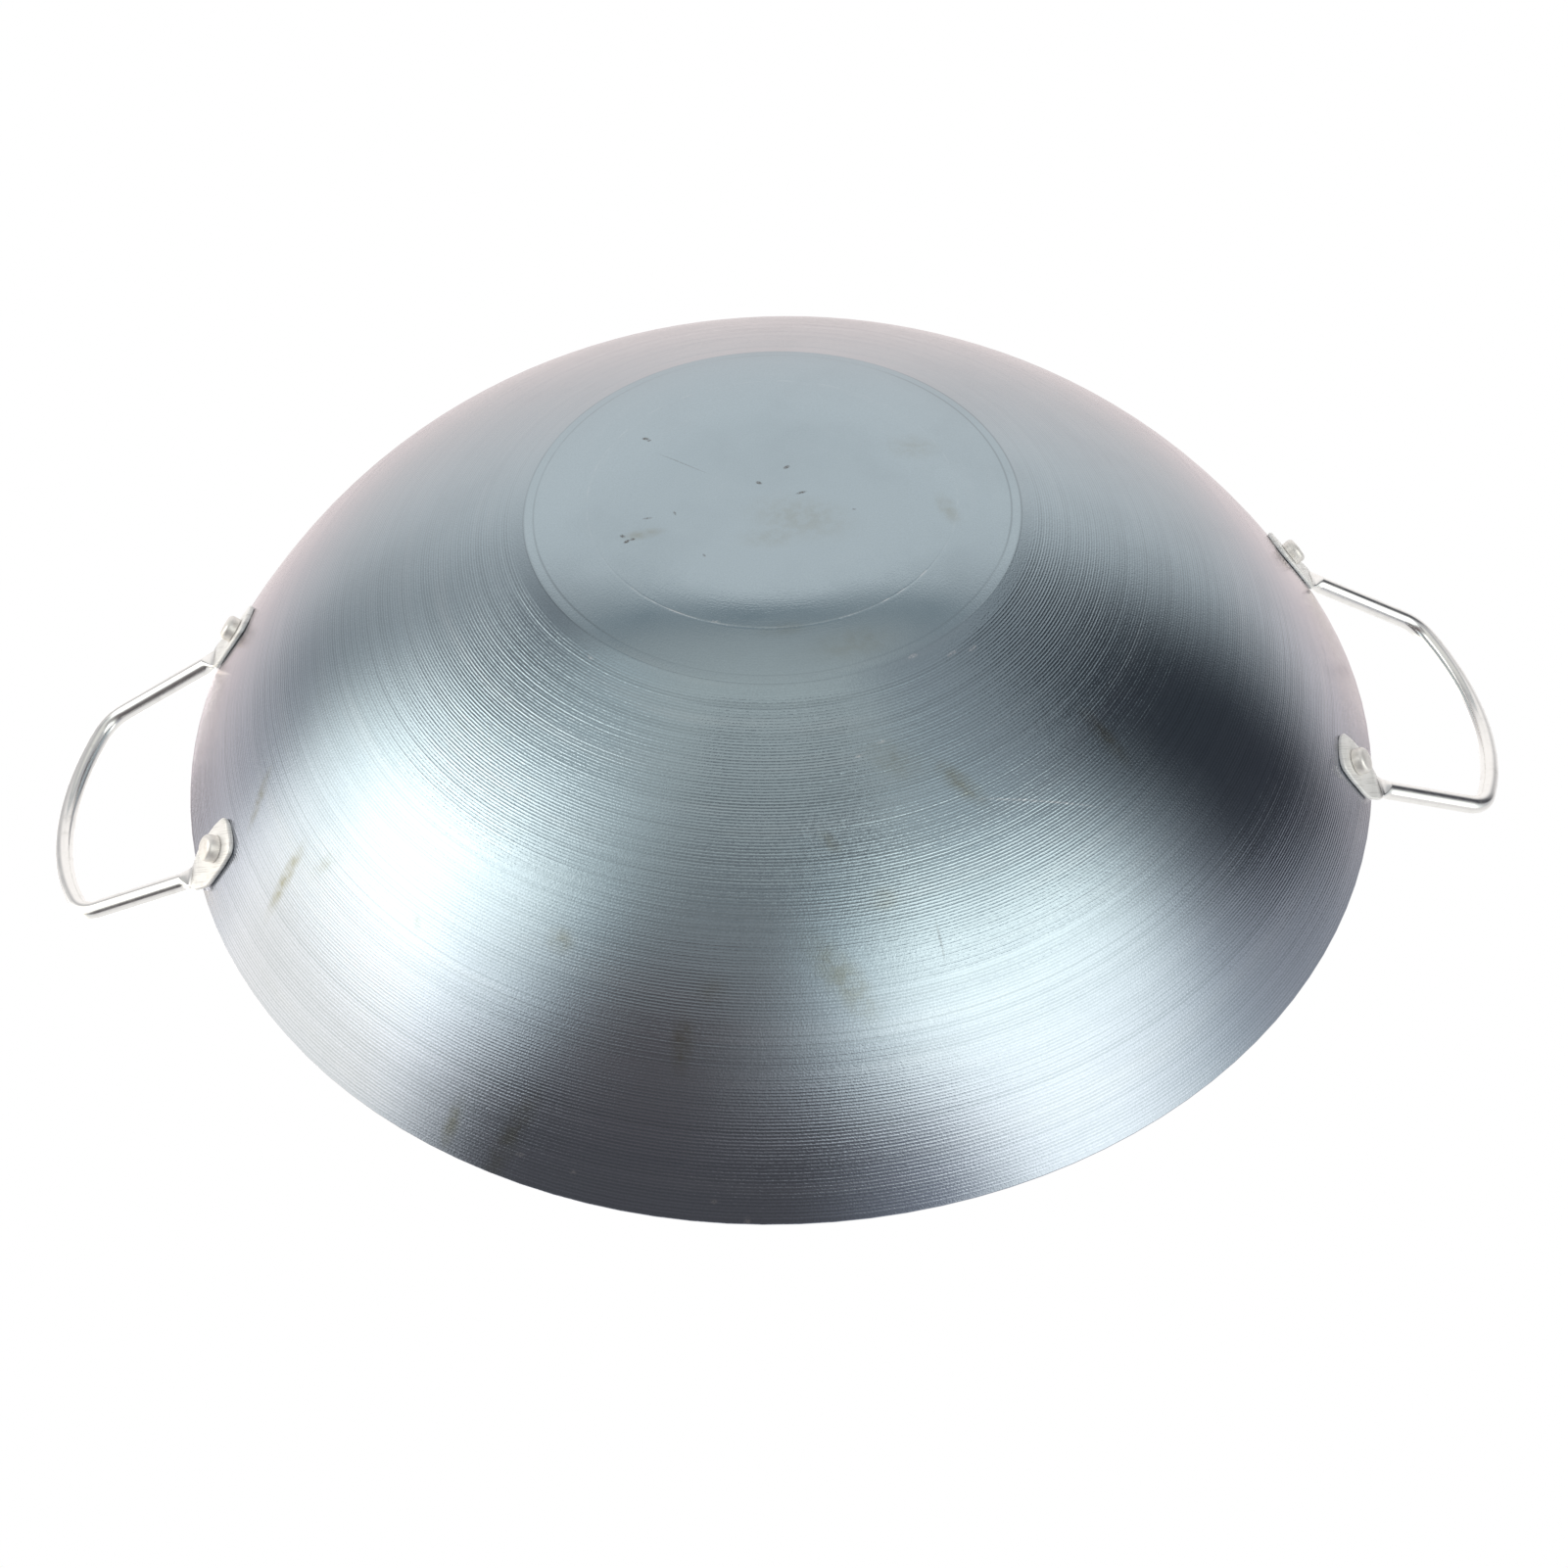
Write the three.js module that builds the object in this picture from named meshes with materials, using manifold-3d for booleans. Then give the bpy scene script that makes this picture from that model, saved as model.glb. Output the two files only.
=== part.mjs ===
// A round two-handled pan spun from sheet steel, with wire loop handles riveted to its wall.
// Millimetres, +Z up. The origin is the centre of the underside, on the surface that the pan stands on.
// The handles lie on +X and -X, and -Y is the front.
import * as THREE from "three";
import { mergeVertices } from "three/addons/utils/BufferGeometryUtils.js";
import Module from "manifold-3d";

const wasm = await Module();
wasm.setup();

// Bowl
const RIM_RADIUS = 180;
const RIM_HEIGHT = 93;
const SHEET = 1.6;
const FLAT_RADIUS = 40;
const STEP_RADIUS = 67.3;
const STEP_WIDTH = 2.8;
const STEP_HEIGHT = 0.5;
const EDGE_RISE = 4.1;
const STEP_FILLET = 1.1;
const WALL_FOOT_ANGLE = 24;
const WALL_RIM_ANGLE = 58;
const WALL_FOOT_REACH = 66;
const WALL_RIM_REACH = 50;

// Handles
const WIRE = 5.5;
const HANDLE_RISE = 26.5;
const LEG_SPLAY = 7.5;
const LEG_LENGTH = 40.8;
const CROWN_BOW = 12.5;
const CORNER_RADIUS = 13;
const TAB_THICKNESS = 1.8;
const TAB_WIDTH = 15;
const TAB_END_WIDTH = 12;
const TAB_LEAN = 8;
const TAB_CORNER = 1.2;
const TAB_EDGE_RADIUS = 0.5;
const TAB_AHEAD = 8.7;
const TAB_FULL = 4.5;
const NECK_OVERHANG = 0.9;
const NECK_LEAD = 1;
const NECK_LENGTH = 4;
const NECK_WIDTH = 8;

// Rivets
const RIVET_DISTANCE = 90;
const RIVET_DROP = 14;
const SHANK = 5;
const BUTTON = 7.2;
const BUTTON_HEIGHT = 3;
const BUTTON_CHAMFER = 0.5;
const INNER_HEAD = 11;
const INNER_HEAD_HEIGHT = 2.2;
const INNER_HEAD_EDGE = 0.6;

// Space left between pieces that touch, and round the shank in its holes
const GAP = 0.3;

// Facets
const BOWL_SIDES = 84;
const BASE_STEPS = 4;
const WALL_STEPS = 12;
const FILLET_STEPS = 2;
const RIVET_SIDES = 20;
const DOME_STEPS = 4;
const QUARTER_SIDES = 4;
const TAB_STATIONS = 7;
const TAB_CORNER_STOP = 0.3;
const NECK_STATIONS = 8;
const LEG_STATIONS = 2;
const BEND_STATIONS = 7;
const CROWN_STATIONS = 7;
const MERGE_DISTANCE = 1e-4;

const rad = THREE.MathUtils.degToRad;
const vec = (x, y, z) => new THREE.Vector3(x, y, z);

// Solids and meshes

function toSolid(geometry) {
  const bare = geometry.clone();
  bare.deleteAttribute("normal");
  bare.deleteAttribute("uv");
  const merged = mergeVertices(bare, MERGE_DISTANCE);
  const vertProperties = new Float32Array(merged.attributes.position.array);
  const triVerts = new Uint32Array(merged.index.array);
  return new wasm.Manifold(new wasm.Mesh({ numProp: 3, vertProperties, triVerts }));
}

function toGeometry(solid) {
  const mesh = solid.getMesh();
  const geometry = new THREE.BufferGeometry();
  geometry.setAttribute("position", new THREE.BufferAttribute(mesh.vertProperties, 3));
  geometry.setIndex(new THREE.BufferAttribute(mesh.triVerts, 1));
  geometry.computeVertexNormals();
  return geometry;
}

function cut(geometry, tools) {
  return toGeometry(tools.reduce((solid, tool) => solid.subtract(toSolid(tool)), toSolid(geometry)));
}

// A profile in radius and height, turned about Z
function turned(points, sides) {
  return new THREE.LatheGeometry(points, sides).rotateX(Math.PI / 2);
}

// Bowl profile: the outside from the axis to the rim. The base is flat in the middle and curves up to a
// narrow pressed ring, a step that is less steep than what lies on both sides of it.

const stepTop = EDGE_RISE + STEP_HEIGHT;
const wallFoot = new THREE.Vector2(STEP_RADIUS + STEP_WIDTH, stepTop);
const rimEdge = new THREE.Vector2(RIM_RADIUS, RIM_HEIGHT);

function along(from, angle, length) {
  return new THREE.Vector2(from.x + length * Math.cos(rad(angle)), from.y + length * Math.sin(rad(angle)));
}

const wall = new THREE.CubicBezierCurve(
  wallFoot,
  along(wallFoot, WALL_FOOT_ANGLE, WALL_FOOT_REACH),
  along(rimEdge, WALL_RIM_ANGLE, -WALL_RIM_REACH),
  rimEdge,
);

// A corner replaced by a curve that leaves it by the same distance on both sides
function roundCorner(before, corner, after) {
  const start = corner.clone().add(before.clone().sub(corner).setLength(STEP_FILLET));
  const end = corner.clone().add(after.clone().sub(corner).setLength(STEP_FILLET));
  return new THREE.QuadraticBezierCurve(start, corner, end).getPoints(FILLET_STEPS);
}

function outerProfile() {
  const axis = new THREE.Vector2(0, 0);
  const flatEdge = new THREE.Vector2(FLAT_RADIUS, 0);
  const halfway = new THREE.Vector2((FLAT_RADIUS + STEP_RADIUS) / 2, 0);
  const stepEdge = new THREE.Vector2(STEP_RADIUS, EDGE_RISE);
  const basePoints = new THREE.QuadraticBezierCurve(flatEdge, halfway, stepEdge).getPoints(BASE_STEPS);
  basePoints.pop();
  const wallPoints = wall.getSpacedPoints(WALL_STEPS).slice(1);
  return [
    axis,
    ...basePoints,
    ...roundCorner(basePoints.at(-1), stepEdge, wallFoot),
    ...roundCorner(stepEdge, wallFoot, wallPoints[0]),
    ...wallPoints,
  ];
}

// The same sheet's inside, one thickness away along each point's normal
function innerProfile(outer) {
  return outer.map((point, i) => {
    const before = outer[Math.max(i - 1, 0)];
    const after = outer[Math.min(i + 1, outer.length - 1)];
    const run = after.clone().sub(before).normalize();
    return new THREE.Vector2(Math.max(point.x - run.y * SHEET, 0), point.y + run.x * SHEET);
  });
}

// Rivet places, on the outside of the wall

function wallPlace() {
  const length = wall.getLength();
  const t = 1 - RIVET_DROP / length;
  const point = wall.getPointAt(t);
  const run = wall.getTangentAt(t);
  const azimuth = Math.asin(RIVET_DISTANCE / 2 / point.x);
  return { point, run, azimuth };
}

// One seat, on the +Y side of the +X handle: the point on the wall, its outward normal and its fall line
function rivetSeat() {
  const { point, run, azimuth } = wallPlace();
  const out = vec(Math.cos(azimuth), Math.sin(azimuth), 0);
  return {
    point: out.clone().multiplyScalar(point.x).setZ(point.y),
    normal: out.clone().multiplyScalar(run.y).setZ(-run.x),
    down: out.clone().multiplyScalar(-run.x).setZ(-run.y),
  };
}

const mirrorY = (v) => vec(v.x, -v.y, v.z);
const half = rivetSeat();
const SEATS = {
  front: { point: mirrorY(half.point), normal: mirrorY(half.normal) },
  rear: half,
};
const SIDES = { right: 0, left: Math.PI };

// Turns something built along +Z onto a seat
function seat(object, { point, normal }) {
  object.position.copy(point);
  object.quaternion.setFromUnitVectors(vec(0, 0, 1), normal);
  object.updateMatrix();
  return object;
}

// A drill for the shank, centred on the wall's outside and twice as long as the stack on each side of it
function drill(place) {
  const stack = SHEET + TAB_THICKNESS + 2 * GAP;
  const length = 2 * (2 * stack);
  const geometry = new THREE.CylinderGeometry(SHANK / 2 + GAP, SHANK / 2 + GAP, length, RIVET_SIDES);
  geometry.rotateX(Math.PI / 2);
  return geometry.applyMatrix4(seat(new THREE.Object3D(), place).matrix);
}

function bowlGeometry() {
  const outer = outerProfile();
  const inner = innerProfile(outer).reverse();
  const drills = Object.values(SIDES).flatMap((turn) =>
    Object.values(SEATS).map((place) => drill(place).rotateZ(turn)),
  );
  return cut(turned([...outer, ...inner], BOWL_SIDES), drills);
}

// Handle centre line, from a tab's tip on the +Y side to the middle of the crown.
// The tab runs up past the rim, and the wire bends out just above it.

const tabBehind = RIVET_DROP / Math.cos(rad(TAB_LEAN)) + NECK_OVERHANG;
const bendAt = TAB_AHEAD + tabBehind;

function handleLine() {
  const { point, normal, down } = half;
  const downWall = down.clone().applyAxisAngle(normal, rad(TAB_LEAN));
  const middle = point.clone().addScaledVector(normal, GAP + TAB_THICKNESS / 2);
  const tip = middle.clone().addScaledVector(downWall, TAB_AHEAD);
  const bend = middle.clone().addScaledVector(downWall, -tabBehind);

  const outInPlane = vec(Math.cos(rad(HANDLE_RISE)), 0, Math.sin(rad(HANDLE_RISE)));
  const splay = vec(0, -Math.sin(rad(LEG_SPLAY)), 0);
  const legRun = splay.addScaledVector(outInPlane, Math.cos(rad(LEG_SPLAY)));
  const corner = bend.clone().addScaledVector(legRun, LEG_LENGTH);
  const crownRadius = (corner.y ** 2 + CROWN_BOW ** 2) / (2 * CROWN_BOW);
  const crownSweep = Math.asin(corner.y / crownRadius);
  const crownAt = (angle) =>
    vec(corner.x, 0, corner.z)
      .addScaledVector(outInPlane, CROWN_BOW - crownRadius * (1 - Math.cos(angle)))
      .setY(crownRadius * Math.sin(angle));

  const cornerTurn = Math.PI / 2 - crownSweep - legRun.angleTo(outInPlane);
  const cornerReach = CORNER_RADIUS * Math.tan(cornerTurn / 2);
  const crownStart = crownSweep - cornerReach / crownRadius;
  const neckStart = bend.clone().addScaledVector(downWall, NECK_LENGTH);
  const neckEnd = bend.clone().addScaledVector(legRun, NECK_LENGTH);
  const legEnd = corner.clone().addScaledVector(legRun, -cornerReach);
  return { tip, bend, neckStart, neckEnd, legEnd, corner, crownAt, crownStart, outInPlane };
}

// Stations of the half handle: place, direction of travel and distance from the tip
function halfStations() {
  const line = handleLine();
  const tab = new THREE.LineCurve3(line.tip, line.neckStart);
  const neck = new THREE.QuadraticBezierCurve3(line.neckStart, line.bend, line.neckEnd);
  const leg = new THREE.LineCurve3(line.neckEnd, line.legEnd);
  const bent = new THREE.QuadraticBezierCurve3(line.legEnd, line.corner, line.crownAt(line.crownStart));
  const stations = [];
  let travelled = 0;
  const follow = (curve, stops) => {
    const length = curve.getLength();
    for (const t of stops)
      stations.push({ at: curve.getPointAt(t), run: curve.getTangentAt(t), d: travelled + t * length });
    travelled += length;
  };
  const even = (count) => Array.from({ length: count }, (_, i) => i / count);
  const firstStop = TAB_CORNER / tab.getLength();
  const tabStops = even(TAB_STATIONS).map((t) => firstStop + t * (1 - firstStop));
  follow(tab, [0, TAB_CORNER_STOP * firstStop, ...tabStops]);
  follow(neck, even(NECK_STATIONS));
  follow(leg, even(LEG_STATIONS));
  follow(bent, even(BEND_STATIONS));
  for (const t of [...even(CROWN_STATIONS), 1]) {
    const angle = line.crownStart * (1 - t);
    const sideways = vec(0, -Math.cos(angle), 0);
    const run = sideways.addScaledVector(line.outInPlane, Math.sin(angle));
    stations.push({ at: line.crownAt(angle), run, d: travelled });
  }
  return stations;
}

const smooth = (from, to, x) => THREE.MathUtils.smoothstep(x, from, to);
const mix = THREE.MathUtils.lerp;

// Width, thickness and corner radius of the wire at a distance from the tab's tip
function sectionAt(d) {
  const neckFrom = bendAt - NECK_LEAD;
  const toWire = smooth(neckFrom, neckFrom + NECK_LENGTH, d);
  const cornerIn = TAB_CORNER * (1 - Math.sqrt(Math.max(0, 1 - (1 - Math.min(d / TAB_CORNER, 1)) ** 2)));
  const spread = Math.sin((Math.min(d / TAB_AHEAD, 1) * Math.PI) / 2);
  const pressed = mix(TAB_END_WIDTH, TAB_WIDTH, spread) - 2 * cornerIn;
  const drawnIn = mix(pressed, NECK_WIDTH, smooth(TAB_AHEAD + TAB_FULL, neckFrom, d));
  return {
    width: mix(drawnIn, WIRE, toWire),
    thickness: mix(TAB_THICKNESS, WIRE, toWire),
    edge: mix(TAB_EDGE_RADIUS, WIRE / 2, toWire),
  };
}

// A rounded rectangle, which is a circle where the edge radius is half its size
function sectionPoints({ width, thickness, edge }) {
  const corners = [[1, 1], [-1, 1], [-1, -1], [1, -1]];
  return corners.flatMap(([sx, sy], quarter) =>
    Array.from({ length: QUARTER_SIDES }, (_, i) => {
      const angle = ((quarter + (i + 0.5) / QUARTER_SIDES) * Math.PI) / 2;
      const x = sx * (width / 2 - edge) + edge * Math.cos(angle);
      const y = sy * (thickness / 2 - edge) + edge * Math.sin(angle);
      return [x, y];
    }),
  );
}

// One ring of the loft: the section set square to the run, flat on the wall at the tab
function ring({ at, run, d }, planeNormal) {
  const leaveWall = smooth(TAB_AHEAD, bendAt + NECK_LENGTH, d);
  const across = half.normal.clone().lerp(planeNormal, leaveWall);
  const up = across.addScaledVector(run, -across.dot(run)).normalize();
  const side = up.clone().cross(run);
  return sectionPoints(sectionAt(d)).map(([x, y]) =>
    at.clone().addScaledVector(side, x).addScaledVector(up, y),
  );
}

function loft(rings) {
  const count = rings[0].length;
  const middle = (points) =>
    points.reduce((sum, p) => sum.add(p), vec(0, 0, 0)).divideScalar(count);
  const points = [...rings.flat(), middle(rings[0]), middle(rings.at(-1))];
  const firstCap = rings.length * count;
  const lastRing = firstCap - count;
  const index = [];
  for (let j = 0; j < count; j++) {
    const next = (j + 1) % count;
    index.push(firstCap, next, j);
    index.push(firstCap + 1, lastRing + j, lastRing + next);
    for (let i = 0; i < lastRing; i += count)
      index.push(i + j, i + next, i + count + j, i + next, i + count + next, i + count + j);
  }
  return new THREE.BufferGeometry().setFromPoints(points).setIndex(index);
}

// The whole handle: one half, its mirror image in the middle of the crown, and the two rivet holes
function handleGeometry() {
  const planeNormal = vec(Math.sin(rad(HANDLE_RISE)), 0, -Math.cos(rad(HANDLE_RISE)));
  const rings = halfStations().map((station) => ring(station, planeNormal));
  const mirrored = rings.slice(0, -1).reverse().map((points) => points.map(mirrorY));
  return cut(loft([...rings, ...mirrored]), Object.values(SEATS).map(drill));
}

// Rivet, built along +Z from the outside of the wall: low head inside, shank, button over the tab
function rivetGeometry() {
  const headFace = -SHEET - GAP;
  const headTop = headFace - INNER_HEAD_HEIGHT;
  const tabFace = TAB_THICKNESS + 2 * GAP;
  const buttonTop = tabFace + BUTTON_HEIGHT;
  const dome = new THREE.QuadraticBezierCurve(
    new THREE.Vector2(0, headTop),
    new THREE.Vector2(INNER_HEAD / 4, headTop),
    new THREE.Vector2(INNER_HEAD / 2, headFace - INNER_HEAD_EDGE),
  );
  const outline = [
    ...dome.getPoints(DOME_STEPS),
    new THREE.Vector2(INNER_HEAD / 2, headFace),
    new THREE.Vector2(SHANK / 2, headFace),
    new THREE.Vector2(SHANK / 2, tabFace),
    new THREE.Vector2(BUTTON / 2, tabFace),
    new THREE.Vector2(BUTTON / 2, buttonTop - BUTTON_CHAMFER),
    new THREE.Vector2(BUTTON / 2 - BUTTON_CHAMFER, buttonTop),
    new THREE.Vector2(0, buttonTop),
  ];
  return toGeometry(toSolid(turned(outline, RIVET_SIDES)));
}

// Finishes

const bluedSteel = { color: 0x7b8790, roughness: 0.35, metalness: 1 };
const brightPlate = { color: 0xd8d6cf, roughness: 0.22, metalness: 1 };
const dullPlate = { color: 0xb9b3a8, roughness: 0.5, metalness: 1 };

function named(name, geometry, finish) {
  const mesh = new THREE.Mesh(geometry, new THREE.MeshStandardMaterial(finish));
  mesh.name = name;
  return mesh;
}

// Assembly

const pan = new THREE.Group();
pan.add(named("pan_body", bowlGeometry(), bluedSteel));
for (const [sideName, turn] of Object.entries(SIDES)) {
  const side = new THREE.Group();
  side.rotation.z = turn;
  side.add(named(`${sideName}_handle`, handleGeometry(), brightPlate));
  for (const [placeName, place] of Object.entries(SEATS)) {
    const turnedName = turn ? { front: "rear", rear: "front" }[placeName] : placeName;
    side.add(seat(named(`${sideName}_${turnedName}_rivet`, rivetGeometry(), dullPlate), place));
  }
  pan.add(side);
}

export default pan;
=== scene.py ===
"""Looks of a two-handled frying pan spun from sheet steel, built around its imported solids.

Lengths are metres in the part's own frame: the pan stands on z = 0 with its handles on +X and -X.
"""

import logging
import math
import random
from bisect import bisect
from contextlib import contextmanager
from dataclasses import dataclass, field
from enum import Enum
from functools import reduce
from typing import Iterator, Optional, Sequence, Union

import bmesh
import bpy
from mathutils import Matrix, Quaternion, Vector


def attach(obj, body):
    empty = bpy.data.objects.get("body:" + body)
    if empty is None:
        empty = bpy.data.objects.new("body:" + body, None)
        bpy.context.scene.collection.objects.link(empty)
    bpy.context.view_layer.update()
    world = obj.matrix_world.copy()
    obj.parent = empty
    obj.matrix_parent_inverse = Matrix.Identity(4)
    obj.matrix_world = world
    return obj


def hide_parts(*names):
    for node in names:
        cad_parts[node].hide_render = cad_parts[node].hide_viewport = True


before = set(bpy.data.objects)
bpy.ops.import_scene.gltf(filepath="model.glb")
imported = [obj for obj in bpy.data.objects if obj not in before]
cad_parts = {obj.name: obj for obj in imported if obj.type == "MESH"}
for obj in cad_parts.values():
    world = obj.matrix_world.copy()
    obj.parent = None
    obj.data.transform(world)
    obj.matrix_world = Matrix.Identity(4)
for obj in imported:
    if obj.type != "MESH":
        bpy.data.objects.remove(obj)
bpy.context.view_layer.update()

LOG = logging.getLogger("pan")
BODY = "root"
SEED_SIZE = 0.002
SEED_RADIUS = 0.01
DRILL_SIDES = 40
DRILL_REACH = 8
MIX_SOCKETS = (0, 6, 7)
HALF_TURN = 180.0

Span = tuple[float, float]
Colour = tuple[float, float, float]
Cloud = tuple[float, float, float]
Steps = tuple[float, float, float, float]
Piece = bpy.types.Object
Socket = bpy.types.NodeSocket
Feed = Union[Socket, float, tuple]


class Slot(Enum):
    """Material slots of the pan."""

    BLUED_STEEL = "blued_steel"
    BRIGHT_PLATE = "bright_plate"
    RIVET_STEEL = "rivet_steel"


class Side(Enum):
    """Sides of the pan that carry a handle, by their turn about Z."""

    RIGHT = 0.0
    LEFT = math.pi


# Modelling helpers


def bare_selection() -> None:
    """Deselect everything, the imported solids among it."""
    bpy.ops.object.select_all(action="DESELECT")


def pick(piece: Piece) -> None:
    """Select one piece alone and make it active.

    Args:
        piece: The piece.
    """
    bare_selection()
    piece.select_set(True)
    bpy.context.view_layer.objects.active = piece


@contextmanager
def editing(piece: Piece) -> Iterator[None]:
    """Hold one piece in edit mode with all of it selected.

    Args:
        piece: The piece.

    Yields:
        Nothing, in edit mode.
    """
    pick(piece)
    bpy.ops.object.mode_set(mode="EDIT")
    bpy.ops.mesh.select_all(action="SELECT")
    try:
        yield
    finally:
        bpy.ops.object.mode_set(mode="OBJECT")


def named(name: str) -> Piece:
    """Name the primitive that was just added.

    Args:
        name: Name of the piece.

    Returns:
        The piece.
    """
    piece = bpy.context.object
    piece.name = name
    piece.data.name = name
    return piece


def close_up(piece: Piece, distance: float = 4e-6) -> None:
    """Merge doubles and turn all faces outwards.

    Args:
        piece: The piece.
        distance: Vertices closer than this become one.
    """
    with editing(piece):
        bpy.ops.mesh.remove_doubles(threshold=distance)
        bpy.ops.mesh.normals_make_consistent(inside=False)


def settle(piece: Piece) -> None:
    """Move a piece's place into its mesh."""
    pick(piece)
    bpy.ops.object.transform_apply(location=True, rotation=True, scale=True)


def smooth(piece: Piece, degrees: float) -> None:
    """Shade smooth, with edges above an angle kept sharp."""
    pick(piece)
    bpy.ops.object.shade_smooth_by_angle(angle=math.radians(degrees))


def apply_modifier(piece: Piece, modifier: bpy.types.Modifier) -> None:
    """Apply one modifier of a piece."""
    pick(piece)
    bpy.ops.object.modifier_apply(modifier=modifier.name)


def copied(piece: Piece, name: str, place: Matrix) -> Piece:
    """Copy a finished piece, with a mesh of its own.

    Args:
        piece: The finished piece.
        name: Name of the copy.
        place: Where the copy goes.

    Returns:
        The copy, with its place moved into its mesh.
    """
    other = piece.copy()
    other.data = piece.data.copy()
    other.name = other.data.name = name
    bpy.context.collection.objects.link(other)
    other.matrix_world = place
    settle(other)
    return other


def turn_outline(name: str, outline: Sequence[Vector], sides: int) -> Piece:
    """Draw an outline by extruding a point and spin it about Z.

    Args:
        name: Name of the piece.
        outline: Points in the XZ plane, from the axis round to the axis.
        sides: Steps of the spin.

    Returns:
        The closed piece.
    """
    bare_selection()
    bpy.ops.mesh.primitive_plane_add(size=SEED_SIZE)
    piece = named(name)
    with editing(piece):
        bpy.ops.mesh.merge(type="CENTER")
        bpy.ops.transform.translate(value=outline[0])
        for before, after in zip(outline, outline[1:]):
            bpy.ops.mesh.extrude_region_move(TRANSFORM_OT_translate={"value": after - before})
        bpy.ops.mesh.select_all(action="SELECT")
        bpy.ops.mesh.spin(steps=sides, angle=2 * math.pi, center=(0, 0, 0), axis=(0, 0, 1))
    close_up(piece)
    return piece


def loft_rings(name: str, rings: Sequence[Sequence[Vector]]) -> Piece:
    """Extrude a disc from ring to ring and leave the last ring open.

    Args:
        name: Name of the piece.
        rings: Closed rings of points, all of one count and in one order.

    Returns:
        The tube, closed at its first ring.
    """
    bare_selection()
    bpy.ops.mesh.primitive_circle_add(vertices=len(rings[0]), radius=SEED_RADIUS, fill_type="NGON")
    piece = named(name)
    order = list(range(len(rings[0])))
    with editing(piece):
        for number, ring in enumerate(rings):
            if number:
                bpy.ops.mesh.extrude_region_move()
            mesh = bmesh.from_edit_mesh(piece.data)
            mesh.verts.ensure_lookup_table()
            mesh.verts.index_update()
            if number:
                order = [pulled_from(mesh.verts[index]) for index in order]
            for index, point in zip(order, ring):
                mesh.verts[index].co = point
            bmesh.update_edit_mesh(piece.data)
        bpy.ops.mesh.delete(type="ONLY_FACE")
    return piece


def pulled_from(vertex: bmesh.types.BMVert) -> int:
    """Index of the selected vertex that was just extruded from this one."""
    ends = (edge.other_vert(vertex) for edge in vertex.link_edges)
    return next(end.index for end in ends if end.select)


def drill_through(piece: Piece, seats: Sequence[Matrix], radius: float, thickness: float) -> None:
    """Bore one hole at each seat.

    Args:
        piece: The piece to bore.
        seats: Places of the holes, each bored along its own Z.
        radius: Radius of the holes.
        thickness: Thickness of the piece there. The drill is a number of times as long.
    """
    for seat in seats:
        bare_selection()
        bpy.ops.mesh.primitive_cylinder_add(vertices=DRILL_SIDES, radius=radius, depth=DRILL_REACH * thickness)
        drill = named("drill")
        drill.matrix_world = seat
        settle(drill)
        bore = piece.modifiers.new("bore", "BOOLEAN")
        bore.operation = "DIFFERENCE"
        bore.solver = "EXACT"
        bore.object = drill
        apply_modifier(piece, bore)
        bpy.data.meshes.remove(drill.data)


def blend(low: float, high: float, value: float) -> float:
    """Smooth step from 0 at low to 1 at high."""
    share = min(max((value - low) / (high - low), 0.0), 1.0)
    return share * share * (3.0 - 2.0 * share)


def between(first: float, second: float, share: float) -> float:
    """A number part of the way from the first to the second."""
    return first + (second - first) * share


def even(count: int) -> list[float]:
    """Starts of so many equal steps from 0 to 1."""
    return [step / count for step in range(count)]


def bezier(corners: Sequence[Vector], t: float) -> Vector:
    """Point of a Bezier curve.

    Args:
        corners: Corners of the curve.
        t: Parameter from 0 to 1.

    Returns:
        The point.
    """
    order = len(corners) - 1
    parts = (math.comb(order, n) * (1 - t) ** (order - n) * t**n * corner for n, corner in enumerate(corners))
    return sum(parts, Vector())


# Finishes


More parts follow.
